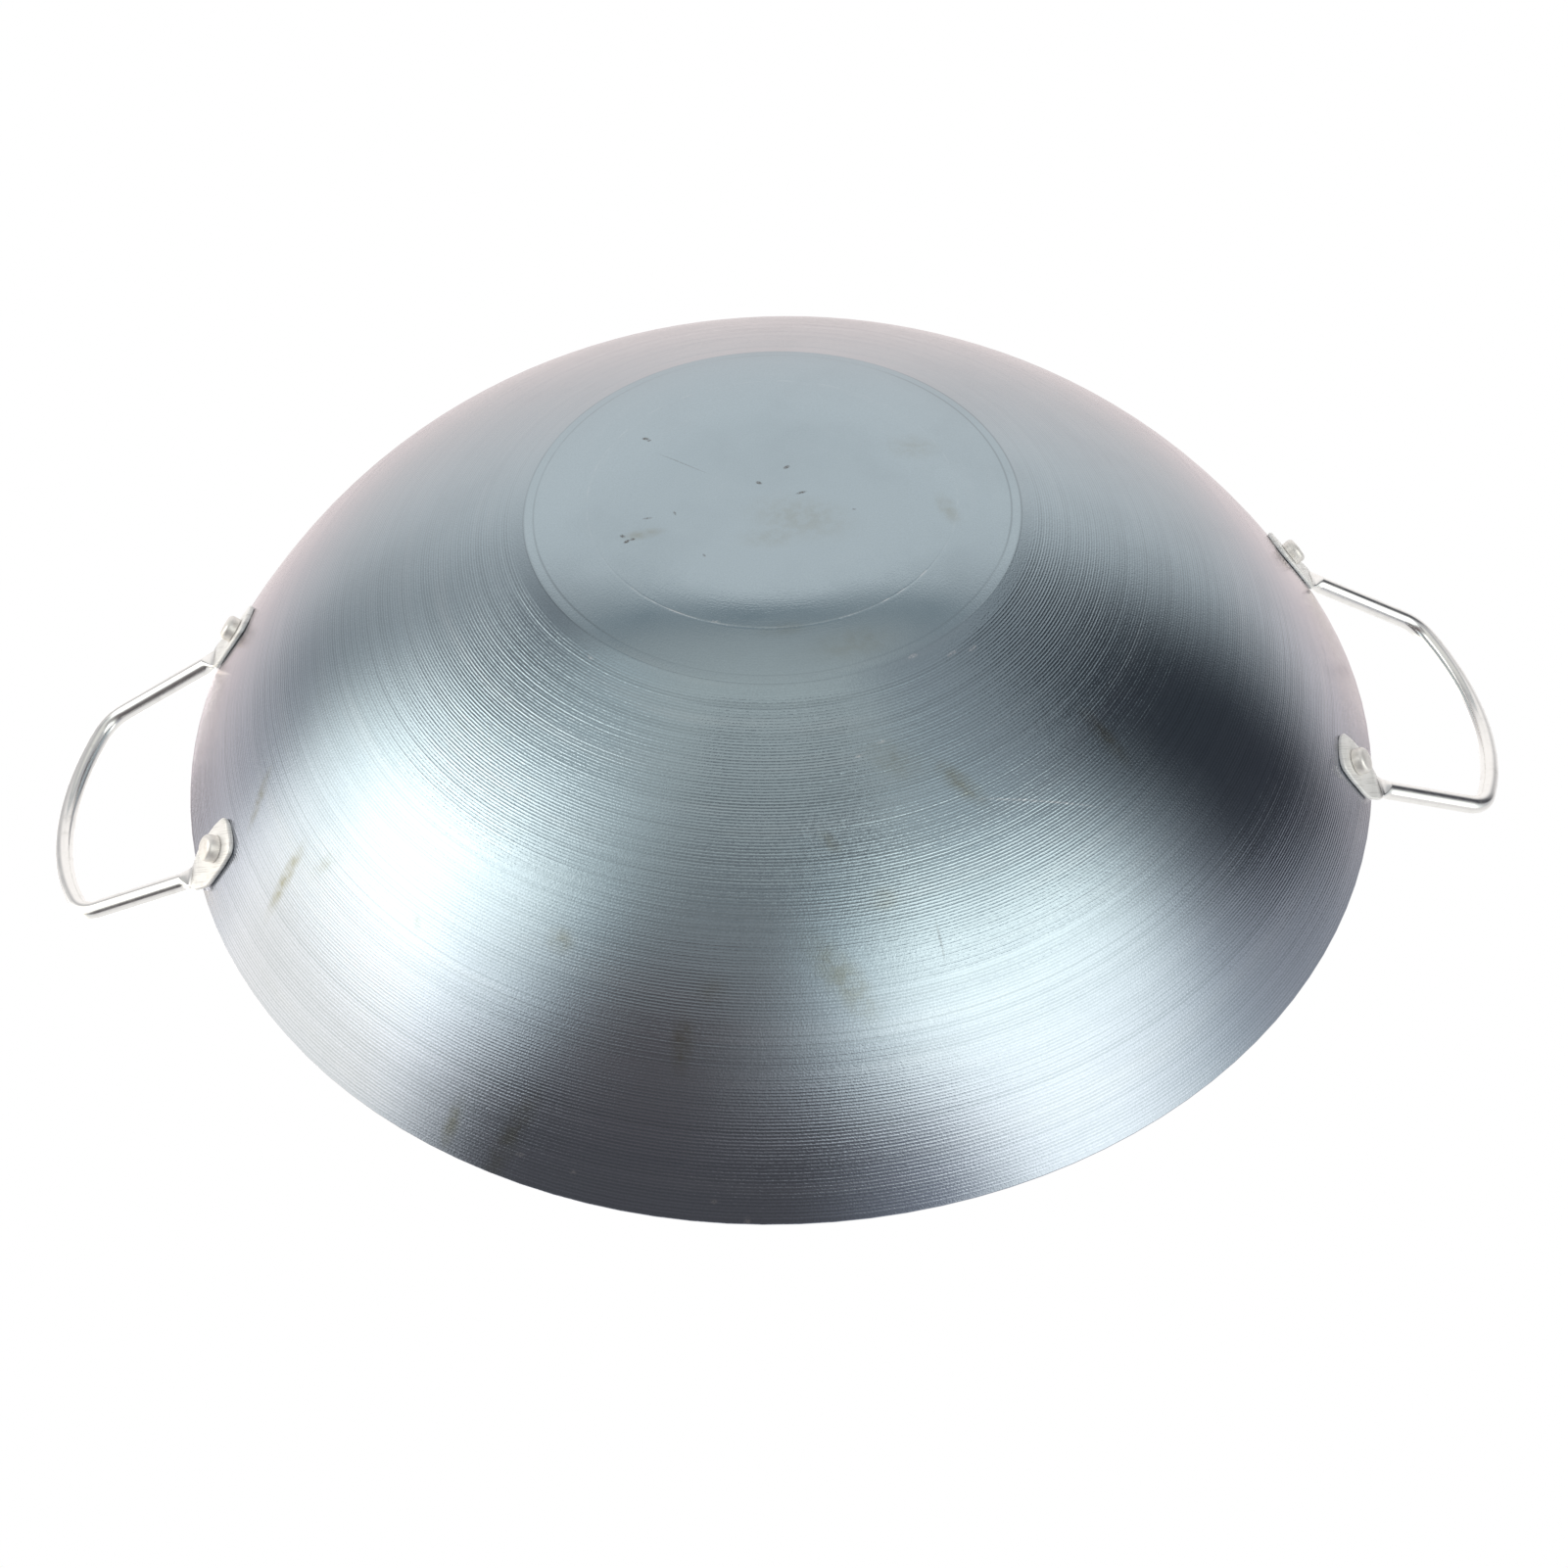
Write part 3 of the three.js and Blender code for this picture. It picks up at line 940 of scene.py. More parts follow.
@dataclass
class Studio:
    """White room with soft panels, a pale floor, a lamp and the camera."""

    turn: float = math.radians(3.3274)
    ceiling: Colour = (0.728, 0.735, 0.718)
    panels: tuple[Panel, ...] = (
        Panel(0, 400, 20, 37.9, 8, 17.9, (0.316, 0.323, 0.347)),
        Panel(74.6, 42.6, 20, 53.6, 13, 9.8, (0.457, 0.468, 0.492), lean=-0.09),
        Panel(-176.7, 45.8, 30.9, 45.8, 10, 4, (0.401, 0.396, 0.402), lean=-0.07),
        Panel(180, 45, 70, 3, 12, 3, (0.285, 0.295, 0.31)),
        Panel(0, 400, -65, 65, 7, 7, (0.80, 0.79, 0.80)),
        Panel(0, 400, -90, 47, 9, 9, (0.92, 0.92, 0.92)),
        Panel(0.8, 44.6, -21, 68.5, 18.4, 9.5, (1.054, 1.033, 1.032)),
        Panel(0, 26, 46, 7.3, 10, 3.5, (0.99, 0.975, 0.975)),
        Panel(0, 36, 55.1, 2.6, 12, 1.7, (0.36, 0.40, 0.43)),
        Panel(92, 24, -5, 16, 12, 8, (0.52, 0.53, 0.56)),
        Panel(-102.9, 29.6, 15, 48.6, 10, 10, (0.734, 0.786, 0.799), slope=0.07),
        Panel(137.7, 34.1, 22, 39.9, 11.6, 5.5, (0.799, 0.866, 0.886), lean=0.06),
        Panel(-93.6, 25.3, 15, 35.2, 20.5, 5.6, (2.789, 2.751, 2.649), lean=0.21, slope=-0.47),
        Panel(-93.7, 20.3, -22, 33.4, 8.2, 10.3, (1.777, 1.680, 1.522)),
        Panel(137.3, 27.7, 22, 33.2, 16.7, 3.8, (2.045, 2.085, 1.996), lean=-0.34, slope=0.32),
        Panel(-56, 10, -2, 5, 7, 5, (0.55, 0.55, 0.58)),
        Panel(178.6, 32.2, -1, 16.9, 12.4, 7.2, (0.350, 0.365, 0.435), lean=0.29),
        Panel(71.5, 19.4, 19.7, 30.4, 12.4, 6.6, (0.062, 0.064, 0.076), lean=-0.29, slope=0.75),
        Panel(-153.1, 15.9, 15, 31, 11.3, 9.7, (0.169, 0.148, 0.151), lean=-0.20, slope=-0.06),
        Panel(-155.8, 36.8, 1, 19, 17, 4.8, (0.127, 0.121, 0.128), lean=-0.34, slope=-0.09),
    )
    camera_place: tuple[float, float, float] = (-0.03074, 0.52880, -0.46353)
    camera_turn: tuple[float, float, float, float] = (0.359796, -0.932058, -0.042291, 0.005205)
    lens: float = 57.236
    sensor: float = 36.0
    floor_size: float = 8.0
    floor_gap: float = 0.0002
    lamp_power: float = 9.0
    lamp_size: float = 1.4
    lamp_place: tuple[float, float, float] = (-0.8, -1.0, 1.7)

    def build(self) -> None:
        """Set up the room, the floor, the lamp and the camera."""
        bpy.context.scene.view_settings.view_transform = "Standard"
        self.room()
        self.floor()
        self.lamp()
        self.camera()

    def room(self) -> None:
        """White to the camera, and soft panels to everything that reflects."""
        world = bpy.data.worlds.new("studio_room")
        bpy.context.scene.world = world
        world.use_nodes = True
        board = NodeBoard(world.node_tree)
        turned = board.add("VectorRotate", rotation_type="Z_AXIS")
        board.feed(turned.inputs["Vector"], board.add("TexCoord").outputs["Generated"])
        turned.inputs["Angle"].default_value = -self.turn
        x, y, z = board.split(turned.outputs[0])
        bearing = board.math("DEGREES", board.math("ARCTAN2", x, board.product(y, -1.0)))
        height = board.math("DEGREES", board.math("ARCSINE", board.product(z, -1.0)))
        light: Feed = self.ceiling
        for panel in self.panels:
            light = board.mix(self.panel_cover(board, bearing, height, panel), light, panel.level)
        shown = board.add("Background")
        shown.inputs["Color"].default_value = (1.0, 1.0, 1.0, 1.0)
        lit = board.add("Background")
        board.feed(lit.inputs["Color"], light)
        seen = board.add("LightPath").outputs["Is Camera Ray"]
        choice = board.fill(board.add("MixShader"), seen, lit.outputs[0], shown.outputs[0])
        board.feed(board.add("OutputWorld").inputs["Surface"], choice.outputs[0])

    def panel_cover(self, board: NodeBoard, bearing: Feed, height: Feed, panel: Panel) -> Socket:
        """How much of a panel shows in a direction.

        Args:
            board: Where the nodes go.
            bearing: Bearing of the direction in degrees.
            height: Height of the direction in degrees.
            panel: The panel.

        Returns:
            A number from 0 to 1.
        """
        aside = board.math("WRAP", board.math("SUBTRACT", bearing, panel.bearing), HALF_TURN, -HALF_TURN)
        above = board.math("SUBTRACT", height, panel.height)
        sideways = board.apart(aside, board.product(above, panel.lean))
        upright = board.apart(above, board.product(aside, panel.slope))
        return board.product(*(
            board.ramp(away, half - blur, half + blur, 1.0, 0.0)
            for away, half, blur in (
                (sideways, panel.half_width, panel.edge),
                (upright, panel.half_height, panel.fade),
            )
        ))

    def floor(self) -> None:
        """A large pale floor, a hair under the pan so that the two never share a plane."""
        bare_selection()
        bpy.ops.mesh.primitive_plane_add(size=self.floor_size, location=(0.0, 0.0, -self.floor_gap))
        floor = named("floor")
        with editing(floor):
            bpy.ops.mesh.subdivide(number_cuts=3)
        floor.data.materials.append(PaleFloor().material())

    def lamp(self) -> None:
        """One large soft lamp above the pan."""
        light = bpy.data.lights.new("soft_lamp", "AREA")
        light.shape = "DISK"
        light.size = self.lamp_size
        light.energy = self.lamp_power
        lamp = bpy.data.objects.new("soft_lamp", light)
        lamp.location = self.lamp_place
        lamp.rotation_euler = (-lamp.location).to_track_quat("-Z", "Y").to_euler()
        bpy.context.collection.objects.link(lamp)

    def camera(self) -> None:
        """The camera at the photograph's place."""
        data = bpy.data.cameras.new("camera")
        data.lens = self.lens
        data.sensor_width = self.sensor
        camera = bpy.data.objects.new("camera", data)
        camera.rotation_mode = "QUATERNION"
        camera.location = self.camera_place
        camera.rotation_quaternion = self.camera_turn
        bpy.context.collection.objects.link(camera)
        bpy.context.scene.camera = camera


# Sub-assemblies


@dataclass
class SpunBowl:
    """The bowl, spun from one disc of sheet over a former."""

    rim_radius: float = 0.180
    rim_height: float = 0.093
    sheet: float = 0.0016
    dish_start: float = 0.0305
    step_radius: float = 0.0673
    step_width: float = 0.0028
    step_height: float = 0.00065
    edge_rise: float = 0.00395
    foot_angle: float = math.radians(24)
    rim_angle: float = math.radians(58)
    foot_reach: float = 0.066
    rim_reach: float = 0.050
    scribe_radius: float = 0.0521
    scribe_half: float = 0.00025
    scribe_depth: float = 0.000014
    groove_pitch: float = 0.00084
    rim_pitch: float = 0.00095
    rim_zone: float = 0.115
    groove_depth: float = 0.000027
    groove_shape: tuple[float, ...] = (0.0, 0.75, 1.0, 0.75)
    pitch_spread: Span = (0.96, 1.04)
    depth_spread: Span = (0.76, 1.18)
    # Painted shade in the valleys of the turning lines: its random strength for each line, and its mean.
    valley_shade_spread: Span = (0.55, 1.0)
    mean_valley_shade: float = 0.49
    smooth_foot: float = 0.001
    groove_from: float = 0.006
    smooth_rim: float = 0.0015
    edge_round: float = 0.0004
    edge_angles: tuple[float, ...] = (0, 22, 45, 68, 90)
    flat_pitch: float = 0.006
    dish_pitch: float = 0.0016
    inner_flat: tuple[float, ...] = (0.0, 0.015, 0.030)
    inner_dish_steps: int = 14
    inner_wall_steps: int = 42
    flat_rings: int = 6
    dish_rings: int = 23
    wall_steps: int = 4000
    same_place: float = 1e-5
    crease: float = 4.0
    sides: int = 120
    seed: int = 7
    wall: list[Vector] = field(default_factory=list)
    lengths: list[float] = field(default_factory=list)

    # Vertex attribute that carries the painted shade of the turning lines.
    VALLEY_SHADES = "groove_valley_shade"

    def __post_init__(self) -> None:
        """Trace the wall's outside once, with the length up to each point."""
        foot = Vector((self.step_radius + self.step_width, 0.0, self.edge_rise + self.step_height))
        rim = Vector((self.rim_radius, 0.0, self.rim_height))
        start = foot + self.foot_reach * Vector((math.cos(self.foot_angle), 0.0, math.sin(self.foot_angle)))
        end = rim - self.rim_reach * Vector((math.cos(self.rim_angle), 0.0, math.sin(self.rim_angle)))
        for step in range(self.wall_steps + 1):
            point = bezier((foot, start, end, rim), step / self.wall_steps)
            travelled = self.lengths[-1] + (point - self.wall[-1]).length if self.wall else 0.0
            self.wall.append(point)
            self.lengths.append(travelled)

    @property
    def wall_length(self) -> float:
        """Length of the wall's outside from its foot to the rim."""
        return self.lengths[-1]

    def wall_at(self, distance: float) -> tuple[Vector, Vector]:
        """Point and direction on the wall's outside.

        Args:
            distance: Length from the wall's foot.

        Returns:
            The point and the unit direction towards the rim.
        """
        low = min(max(bisect(self.lengths, distance) - 1, 0), len(self.lengths) - 2)
        high = low + 1
        share = (distance - self.lengths[low]) / (self.lengths[high] - self.lengths[low])
        return self.wall[low].lerp(self.wall[high], share), (self.wall[high] - self.wall[low]).normalized()

    def outside(self, point: Vector) -> float:
        """Distance of a point from the wall's outside, square to the wall at the same radius.

        Args:
            point: The point.

        Returns:
            Metres, above 0 outside the wall.
        """
        radius = math.hypot(point.x, point.y)
        number = min(max(bisect(self.wall, radius, key=lambda traced: traced.x), 1), len(self.wall) - 1)
        before, after = self.wall[number - 1], self.wall[number]
        share = min((radius - before.x) / (after.x - before.x), 1.0)
        return (between(before.z, after.z, share) - point.z) * (after - before).normalized().x

    def base_height(self, radius: float) -> float:
        """Height of the underside inside the wall's foot: dished edge, then the pressed ring.

        Args:
            radius: Distance from the axis.

        Returns:
            The height.
        """
        if radius > self.step_radius:
            return self.edge_rise + (radius - self.step_radius) * self.step_height / self.step_width
        return self.edge_rise * (max(radius - self.dish_start, 0.0) / (self.step_radius - self.dish_start)) ** 2

    def base_outline(self) -> list[Vector]:
        """The underside from the axis to the foot of the wall, with its three scribed lines.

        Returns:
            Points in the XZ plane.
        """
        foot = self.step_radius + self.step_width
        scribes = (self.scribe_radius, self.step_radius, foot - self.scribe_half)
        radii = {self.flat_pitch * step for step in range(self.flat_rings)}
        radii |= {self.dish_start + self.dish_pitch * step for step in range(self.dish_rings)}
        radii = {radius for radius in radii if all(abs(radius - line) > 3 * self.scribe_half for line in scribes)}
        radii |= {line + shift * self.scribe_half for line in scribes for shift in (-2.0, -1.0, 0.0, 1.0)}
        points = []
        for radius in sorted(radii):
            nearest = min(abs(radius - line) for line in scribes)
            sunk = self.scribe_depth * max(0.0, 1.0 - nearest / self.scribe_half)
            points.append(Vector((radius, 0.0, self.base_height(radius) + sunk)))
        return points

    def wall_outline(self) -> tuple[list[Vector], list[float]]:
        """Turn the grooves of the wall's outside, from the foot to just below the rim.

        Returns:
            Points of the outline, and at each point how much painted shade darkens it against the mean: most in the
            valleys, least on the crests.
        """
        chance = random.Random(self.seed)
        points, valley_shades = [], []
        distance = self.smooth_foot
        end = self.wall_length - self.smooth_rim
        while distance < end:
            pitch = self.groove_pitch if distance < self.rim_zone else self.rim_pitch
            pitch *= chance.uniform(*self.pitch_spread)
            cut = blend(self.smooth_foot, self.groove_from, distance)
            depth = cut * self.groove_depth * chance.uniform(*self.depth_spread)
            # Painted shade of this line's valley, with a random strength.
            valley_shade = chance.uniform(*self.valley_shade_spread)
            for step, share in enumerate(self.groove_shape):
                at = distance + pitch * step / len(self.groove_shape)
                if at < end:
                    point, along = self.wall_at(at)
                    points.append(point + share * depth * Vector((-along.z, 0.0, along.x)))
                    valley_shades.append(cut * (share * valley_shade - self.mean_valley_shade))
            distance += pitch
        return points, valley_shades

    def valley_shade(self, bowl: Piece, points: Sequence[Vector], valley_shades: Sequence[float]) -> None:
        """Note at each vertex of the wall's outside how much painted shade it takes, most in the valleys of the
        turning lines.

        Args:
            bowl: The spun bowl.
            points: Outline of the grooves, by growing radius.
            valley_shades: Painted shade at each of its points.
        """
        noted = bowl.data.attributes.new(self.VALLEY_SHADES, "FLOAT", "POINT")
        for vertex, item in zip(bowl.data.vertices, noted.data):
            radius = math.hypot(vertex.co.x, vertex.co.y)
            number = min(bisect(points, radius - self.same_place, key=lambda point: point.x), len(points) - 1)
            away = max(abs(points[number].x - radius), abs(points[number].z - vertex.co.z))
            if away < self.same_place:
                item.value = valley_shades[number]

    def rim_outline(self) -> list[Vector]:
        """The cut edge of the sheet, rounded on both sides.

        Returns:
            Points in the XZ plane.
        """
        rim, along = self.wall_at(self.wall_length)
        inward = Vector((-along.z, 0.0, along.x))
        corners = (
            (self.edge_round, self.edge_angles),
            (self.sheet - self.edge_round, [HALF_TURN - angle for angle in reversed(self.edge_angles)]),
        )
        points = []
        for middle, angles in corners:
            centre = rim + inward * middle - along * self.edge_round
            for angle in map(math.radians, angles):
                points.append(centre + self.edge_round * (along * math.sin(angle) - inward * math.cos(angle)))
        return points

    def inner_outline(self) -> list[Vector]:
        """The inside of the sheet, from just below the rim to the axis.

        Returns:
            Points in the XZ plane.
        """
        radii = list(self.inner_flat)
        for step in range(1, self.inner_dish_steps + 1):
            radii.append(between(self.inner_flat[-1], self.step_radius, step / self.inner_dish_steps))
        outer = [Vector((radius, 0.0, self.base_height(radius))) for radius in radii]
        last = self.wall_length - 2 * self.edge_round
        for step in range(self.inner_wall_steps + 1):
            outer.append(self.wall_at(last * step / self.inner_wall_steps)[0])
        inner = []
        for number, point in enumerate(outer):
            run = (outer[min(number + 1, len(outer) - 1)] - outer[max(number - 1, 0)]).normalized()
            inner.append(Vector((max(point.x - run.z * self.sheet, 0.0), 0.0, point.z + run.x * self.sheet)))
        return inner[::-1]

    def build(self, seats: Sequence[Matrix], hole: float) -> Piece:
        """Spin the sheet and bore its rivet holes.

        Args:
            seats: Places of the rivets.
            hole: Radius of the holes.

        Returns:
            The bowl.
        """
        grooves, valley_shades = self.wall_outline()
        outline = self.base_outline() + grooves + self.rim_outline() + self.inner_outline()
        bowl = turn_outline("spun_bowl", outline, self.sides)
        drill_through(bowl, seats, hole, self.sheet)
        self.valley_shade(bowl, grooves, valley_shades)
        smooth(bowl, self.crease)
        return bowl


@dataclass(frozen=True)
class Station:
    """One stop along the wire: its place, its direction and the length of wire before it."""

    at: Vector
    run: Vector
    travelled: float


@dataclass
class WireHandle:
    """A loop of round wire with both ends pressed into tabs that lie on the wall."""

    bowl: SpunBowl
    wire: float = 0.00546
    rise: float = math.radians(26.5)
    splay: float = math.radians(7.5)
    leg_length: float = 0.0408
    crown_bow: float = 0.0125
    corner_radius: float = 0.013
    tab_thickness: float = 0.0014
    tab_width: float = 0.015
    tab_end_width: float = 0.012
    tab_lean: float = math.radians(8)
    tab_corner: float = 0.0024
    tab_corner_in: float = 0.0040
    tab_edge: float = 0.0006
    tab_ahead: float = 0.0087
    tab_full: float = 0.0045
    neck_overhang: float = 0.0009
    neck_lead: float = 0.001
    neck_length: float = 0.004
    neck_width: float = 0.008
    rivet_span: float = 0.090
    rivet_drop: float = 0.014
    gap: float = 0.0003
    seat_gap: float = 0.00006
    path_lift: float = 0.0012
    press_end: Span = (0.007, 0.002)
    tip_shares: tuple[float, ...] = (0.0, 0.04, 0.12, 0.25, 0.42, 0.62, 0.82)
    tab_stops: int = 16
    neck_stops: int = 24
    leg_stops: int = 8
    corner_stops: int = 22
    crown_stops: int = 24
    curve_steps: int = 400
    quarter_sides: int = 6
    same_place: float = 1e-6
    crease: float = 28.0

    COORDINATES = "drawn_wire"

    def seat(self) -> tuple[Vector, Vector, Vector]:
        """Rivet seat on the +Y side of the +X handle.

        Returns:
            The point on the wall, its outward normal and its fall line.
        """
        point, along = self.bowl.wall_at(self.bowl.wall_length - self.rivet_drop)
        azimuth = math.asin(self.rivet_span / 2 / point.x)
        out = Vector((math.cos(azimuth), math.sin(azimuth), 0.0))
        up = Vector((0.0, 0.0, 1.0))
        return out * point.x + up * point.z, out * along.z - up * along.x, -out * along.x - up * along.z

    @property
    def tab_behind(self) -> float:
        """Length of the tab from the rivet to its bend over the rim."""
        return self.rivet_drop / math.cos(self.tab_lean) + self.neck_overhang

    @property
    def bend_at(self) -> float:
        """Length of wire from the tab's tip to the bend."""
        return self.tab_ahead + self.tab_behind

    def stations(self) -> list[Station]:
        """Stops from the tab's tip on the +Y side to the middle of the crown.

        Returns:
            The stops in order.
        """
        point, normal, down = self.seat()
        down_wall = Quaternion(normal, self.tab_lean) @ down
        middle = point + normal * self.path_lift
        tip = middle + down_wall * self.tab_ahead
        bend = middle - down_wall * self.tab_behind
        out = Vector((math.cos(self.rise), 0.0, math.sin(self.rise)))
        leg_run = out * math.cos(self.splay) + Vector((0.0, -math.sin(self.splay), 0.0))
        corner = bend + leg_run * self.leg_length
        crown_radius = (corner.y**2 + self.crown_bow**2) / (2 * self.crown_bow)
        crown_sweep = math.asin(corner.y / crown_radius)
        corner_reach = self.corner_radius * math.tan((math.pi / 2 - crown_sweep - leg_run.angle(out)) / 2)
        crown_start = crown_sweep - corner_reach / crown_radius

        def crown_at(angle: float) -> Vector:
            """A point of the crown.

            Args:
                angle: Angle from the crown's middle.

            Returns:
                The point.
            """
            shift = self.crown_bow - crown_radius * (1 - math.cos(angle))
            place = Vector((corner.x, 0.0, corner.z)) + out * shift
            place.y = crown_radius * math.sin(angle)
            return place

        neck_start = bend + down_wall * self.neck_length
        neck_end = bend + leg_run * self.neck_length
        leg_end = corner - leg_run * corner_reach
        first = self.tab_corner / (neck_start - tip).length
        tab = [first * share for share in self.tip_shares]
        tab += [between(first, 1.0, share) for share in even(self.tab_stops)]
        bends = (
            ((tip, tip.lerp(neck_start, 0.5), neck_start), tab),
            ((neck_start, bend, neck_end), even(self.neck_stops)),
            ((neck_end, neck_end.lerp(leg_end, 0.5), leg_end), even(self.leg_stops)),
            ((leg_end, corner, crown_at(crown_start)), even(self.corner_stops)),
        )
        stops: list[Station] = []
        travelled = 0.0
        for curve, shares in bends:
            travelled = self.follow(stops, curve, shares, travelled)
        for share in even(self.crown_stops) + [1.0]:
            angle = crown_start * (1 - share)
            run = Vector((0.0, -math.cos(angle), 0.0)) + out * math.sin(angle)
            stops.append(Station(crown_at(angle), run, travelled + crown_radius * (crown_start - angle)))
        return stops

    def follow(
        self, stops: list[Station], curve: Sequence[Vector], shares: Sequence[float], travelled: float
    ) -> float:
        """Add stops along one bend of the wire.

        Args:
            stops: Where the stops are added.
            curve: Start, corner and end of the bend.
            shares: Places of the stops, as shares of the bend.
            travelled: Length of wire before the bend.

        Returns:
            Length of wire up to the end of the bend.
        """
        start, corner, end = curve
        steps = self.curve_steps
        traced = [bezier(curve, n / steps) for n in range(steps + 1)]
        lengths = [0.0]
        for before, after in zip(traced, traced[1:]):
            lengths.append(lengths[-1] + (after - before).length)
        for share in shares:
            wanted = share * lengths[-1]
            number = min(next((n for n, length in enumerate(lengths) if length > wanted), steps) - 1, steps - 1)
            part = (wanted - lengths[number]) / (lengths[number + 1] - lengths[number])
            t = (number + part) / steps
            run = ((1 - t) * (corner - start) + t * (end - corner)).normalized()
            stops.append(Station(traced[number].lerp(traced[number + 1], part), run, travelled + wanted))
        return travelled + lengths[-1]

    def section(self, distance: float) -> list[tuple[float, float]]:
        """Outline of the wire at a distance from the tab's tip.

        Args:
            distance: Length of wire from the tip.

        Returns:
            Points across and up from the wire's middle.
        """
        neck_from = self.bend_at - self.neck_lead
        to_wire = blend(neck_from, neck_from + self.neck_length, distance)
        share = min(distance / self.tab_corner, 1.0)
        corner_in = self.tab_corner_in * (1 - math.sqrt(1 - (1 - share) ** 2))
        spread = math.sin(min(distance / self.tab_ahead, 1.0) * math.pi / 2)
        pressed = between(self.tab_end_width, self.tab_width, spread) - 2 * corner_in
        tapered = self.tab_ahead + self.tab_full
        taper = min(max((distance - tapered) / (neck_from - tapered), 0.0), 1.0)
        drawn_in = between(self.neck_width, pressed, math.sqrt(1 - taper**2))
        width = between(drawn_in, self.wire, to_wire)
        thickness = between(self.tab_thickness, self.wire, to_wire)
        edge = between(self.tab_edge, self.wire / 2, to_wire)
        share = min(distance / self.tab_edge, 1.0)
        kept = 1 - self.tab_edge / thickness * (1 - math.sqrt(1 - (1 - share) ** 2))
        points = []
        for quarter, (sign_x, sign_y) in enumerate(((1, 1), (-1, 1), (-1, -1), (1, -1))):
            for step in range(self.quarter_sides):
                angle = (quarter + (step + 0.5) / self.quarter_sides) * math.pi / 2
                points.append((
                    sign_x * (width / 2 - edge) + edge * math.cos(angle),
                    kept * (sign_y * (thickness / 2 - edge) + edge * math.sin(angle) + thickness / 2) - thickness / 2,
                ))
        return points

    def build(self, seats: Sequence[Matrix], hole: float) -> Piece:
        """Loft half the handle, mirror it in the middle of its crown and bore the tabs.

        Args:
            seats: Places of this handle's two rivets.
            hole: Radius of the holes.

        Returns:
            The handle on the +X side.
        """
        _, normal, _ = self.seat()
        flat = Vector((math.sin(self.rise), 0.0, -math.cos(self.rise)))
        rings, drawn = [], []
        for stop in self.stations():
            leave = blend(self.tab_ahead, self.bend_at + self.neck_length, stop.travelled)
            across = normal.lerp(flat, leave)
            up = (across - stop.run * across.dot(stop.run)).normalized()
            side = up.cross(stop.run)
            outline = self.section(stop.travelled)
            pressed_on = 1 - blend(*(self.bend_at - before for before in self.press_end), stop.travelled)
            ring = []
            for x, y in outline:
                middle = stop.at + side * x
                lifted = self.bowl.outside(middle) - self.seat_gap - self.tab_thickness / 2
                ring.append(middle + up * (y - pressed_on * lifted))
            rings.append(ring)
            drawn += [(x, y, stop.travelled) for x, y in outline]
        handle = loft_rings("right_wire_handle", rings)
        coordinates = handle.data.attributes.new(self.COORDINATES, "FLOAT_VECTOR", "POINT")
        for item, value in zip(coordinates.data, drawn):
            item.vector = value
        mirror = handle.modifiers.new("other_half", "MIRROR")
        mirror.use_axis = (False, True, False)
        mirror.merge_threshold = self.same_place
        apply_modifier(handle, mirror)
        close_up(handle, self.same_place)
        drill_through(handle, seats, hole, self.tab_thickness)
        smooth(handle, self.crease)
        return handle


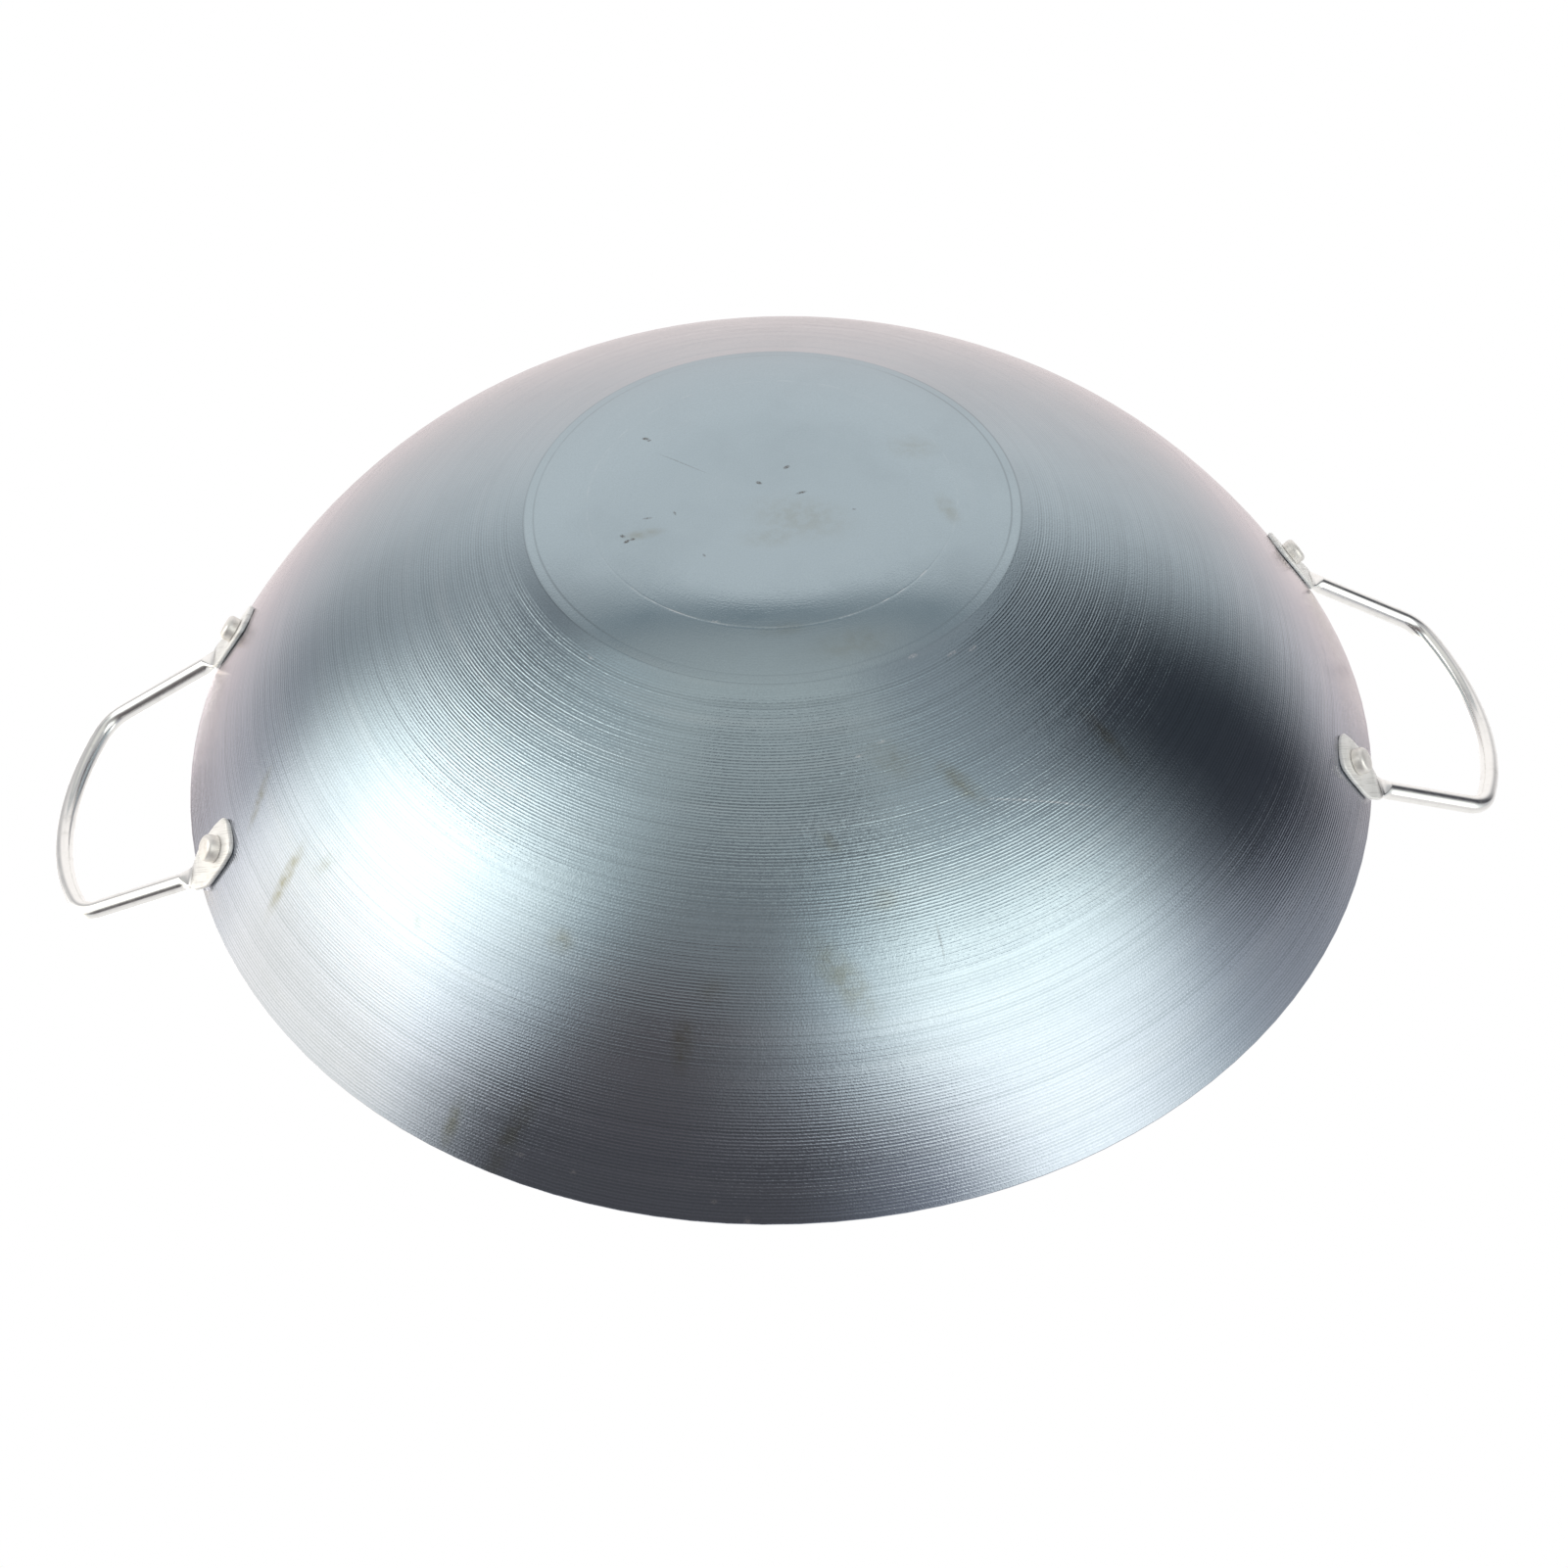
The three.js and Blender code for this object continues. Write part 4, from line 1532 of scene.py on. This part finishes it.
@dataclass
class RivetSet:
    """The four rivets, each with a button over its tab and a low head inside the pan."""

    handle: WireHandle
    shank: float = 0.005
    button: float = 0.0080
    button_height: float = 0.0036
    button_round: float = 0.0014
    inner_head: float = 0.011
    inner_height: float = 0.0022
    inner_edge: float = 0.0006
    inner_steps: int = 10
    shoulder_drop: float = 0.00012
    shoulder_angles: tuple[float, ...] = (0, 15, 30, 45, 60, 75, 90)
    crown_drop: float = 0.00004
    crown_share: float = 0.45
    crease: float = 40.0
    sides: int = 48

    @property
    def hole(self) -> float:
        """Radius of the holes that the shank goes through."""
        return self.shank / 2 + self.handle.gap

    def seats(self) -> dict[str, Matrix]:
        """Places of the rivets on the wall's outside.

        Returns:
            The places by name, with Z outwards.
        """
        point, normal, _ = self.handle.seat()
        places = {}
        for side in Side:
            for mirrored in (1.0, -1.0):
                turn = Matrix.Rotation(side.value, 4, "Z")
                stood = turn @ Vector((point.x, mirrored * point.y, point.z))
                faced = turn @ Vector((normal.x, mirrored * normal.y, normal.z))
                end = "rear" if stood.y > 0 else "front"
                lean = Vector((0.0, 0.0, 1.0)).rotation_difference(faced).to_matrix().to_4x4()
                places[f"{side.name.lower()}_{end}"] = Matrix.Translation(stood) @ lean
        return places

    def outline(self) -> list[Vector]:
        """Half a rivet in section, from the inner head's top round to the button's top.

        Returns:
            Points in the XZ plane.
        """
        gap = self.handle.seat_gap
        head_face = -self.handle.bowl.sheet - gap
        head_top = head_face - self.inner_height
        tab_face = self.handle.tab_thickness + 2 * gap
        top = tab_face + self.button_height
        head = (
            Vector((0.0, 0.0, head_top)),
            Vector((self.inner_head / 4, 0.0, head_top)),
            Vector((self.inner_head / 2, 0.0, head_face - self.inner_edge)),
        )
        points = [bezier(head, share) for share in even(self.inner_steps) + [1.0]]
        radius, curve = self.button / 2, self.button_round
        points += [
            Vector((self.inner_head / 2, 0.0, head_face)),
            Vector((self.shank / 2, 0.0, head_face)),
            Vector((self.shank / 2, 0.0, tab_face)),
            Vector((radius, 0.0, tab_face)),
        ]
        centre = Vector((radius - curve, 0.0, top - curve - self.shoulder_drop))
        for angle in map(math.radians, self.shoulder_angles):
            points.append(centre + curve * Vector((math.cos(angle), 0.0, math.sin(angle))))
        points += [Vector((radius * self.crown_share, 0.0, top - self.crown_drop)), Vector((0.0, 0.0, top))]
        return points

    def build(self) -> dict[str, Piece]:
        """Turn one rivet and copy it to the four seats.

        Returns:
            The rivets by the name of their place.
        """
        pattern = turn_outline("rivet_pattern", self.outline(), self.sides)
        smooth(pattern, self.crease)
        rivets = {name: copied(pattern, f"{name}_set_rivet", place) for name, place in self.seats().items()}
        bpy.data.meshes.remove(pattern.data)
        return rivets


def main() -> None:
    """Build the studio and the pan, piece by piece."""
    logging.basicConfig(level=logging.INFO, format="%(name)s: %(message)s")
    Studio().build()

    bowl = SpunBowl()
    handle = WireHandle(bowl)
    rivets = RivetSet(handle)
    seats = rivets.seats()

    dress(bowl.build(list(seats.values()), rivets.hole), BluedSteel().material(), ["pan_body"])

    plate = BrightPlate().material()
    right = handle.build([seats["right_front"], seats["right_rear"]], rivets.hole)
    left = copied(right, "left_wire_handle", Matrix.Rotation(Side.LEFT.value, 4, "Z"))
    dress(right, plate, ["right_handle"])
    dress(left, plate, ["left_handle"])

    steel = RivetSteel().material()
    for name, rivet in rivets.build().items():
        dress(rivet, steel, [f"{name}_rivet"])


if __name__ == "__main__":
    main()
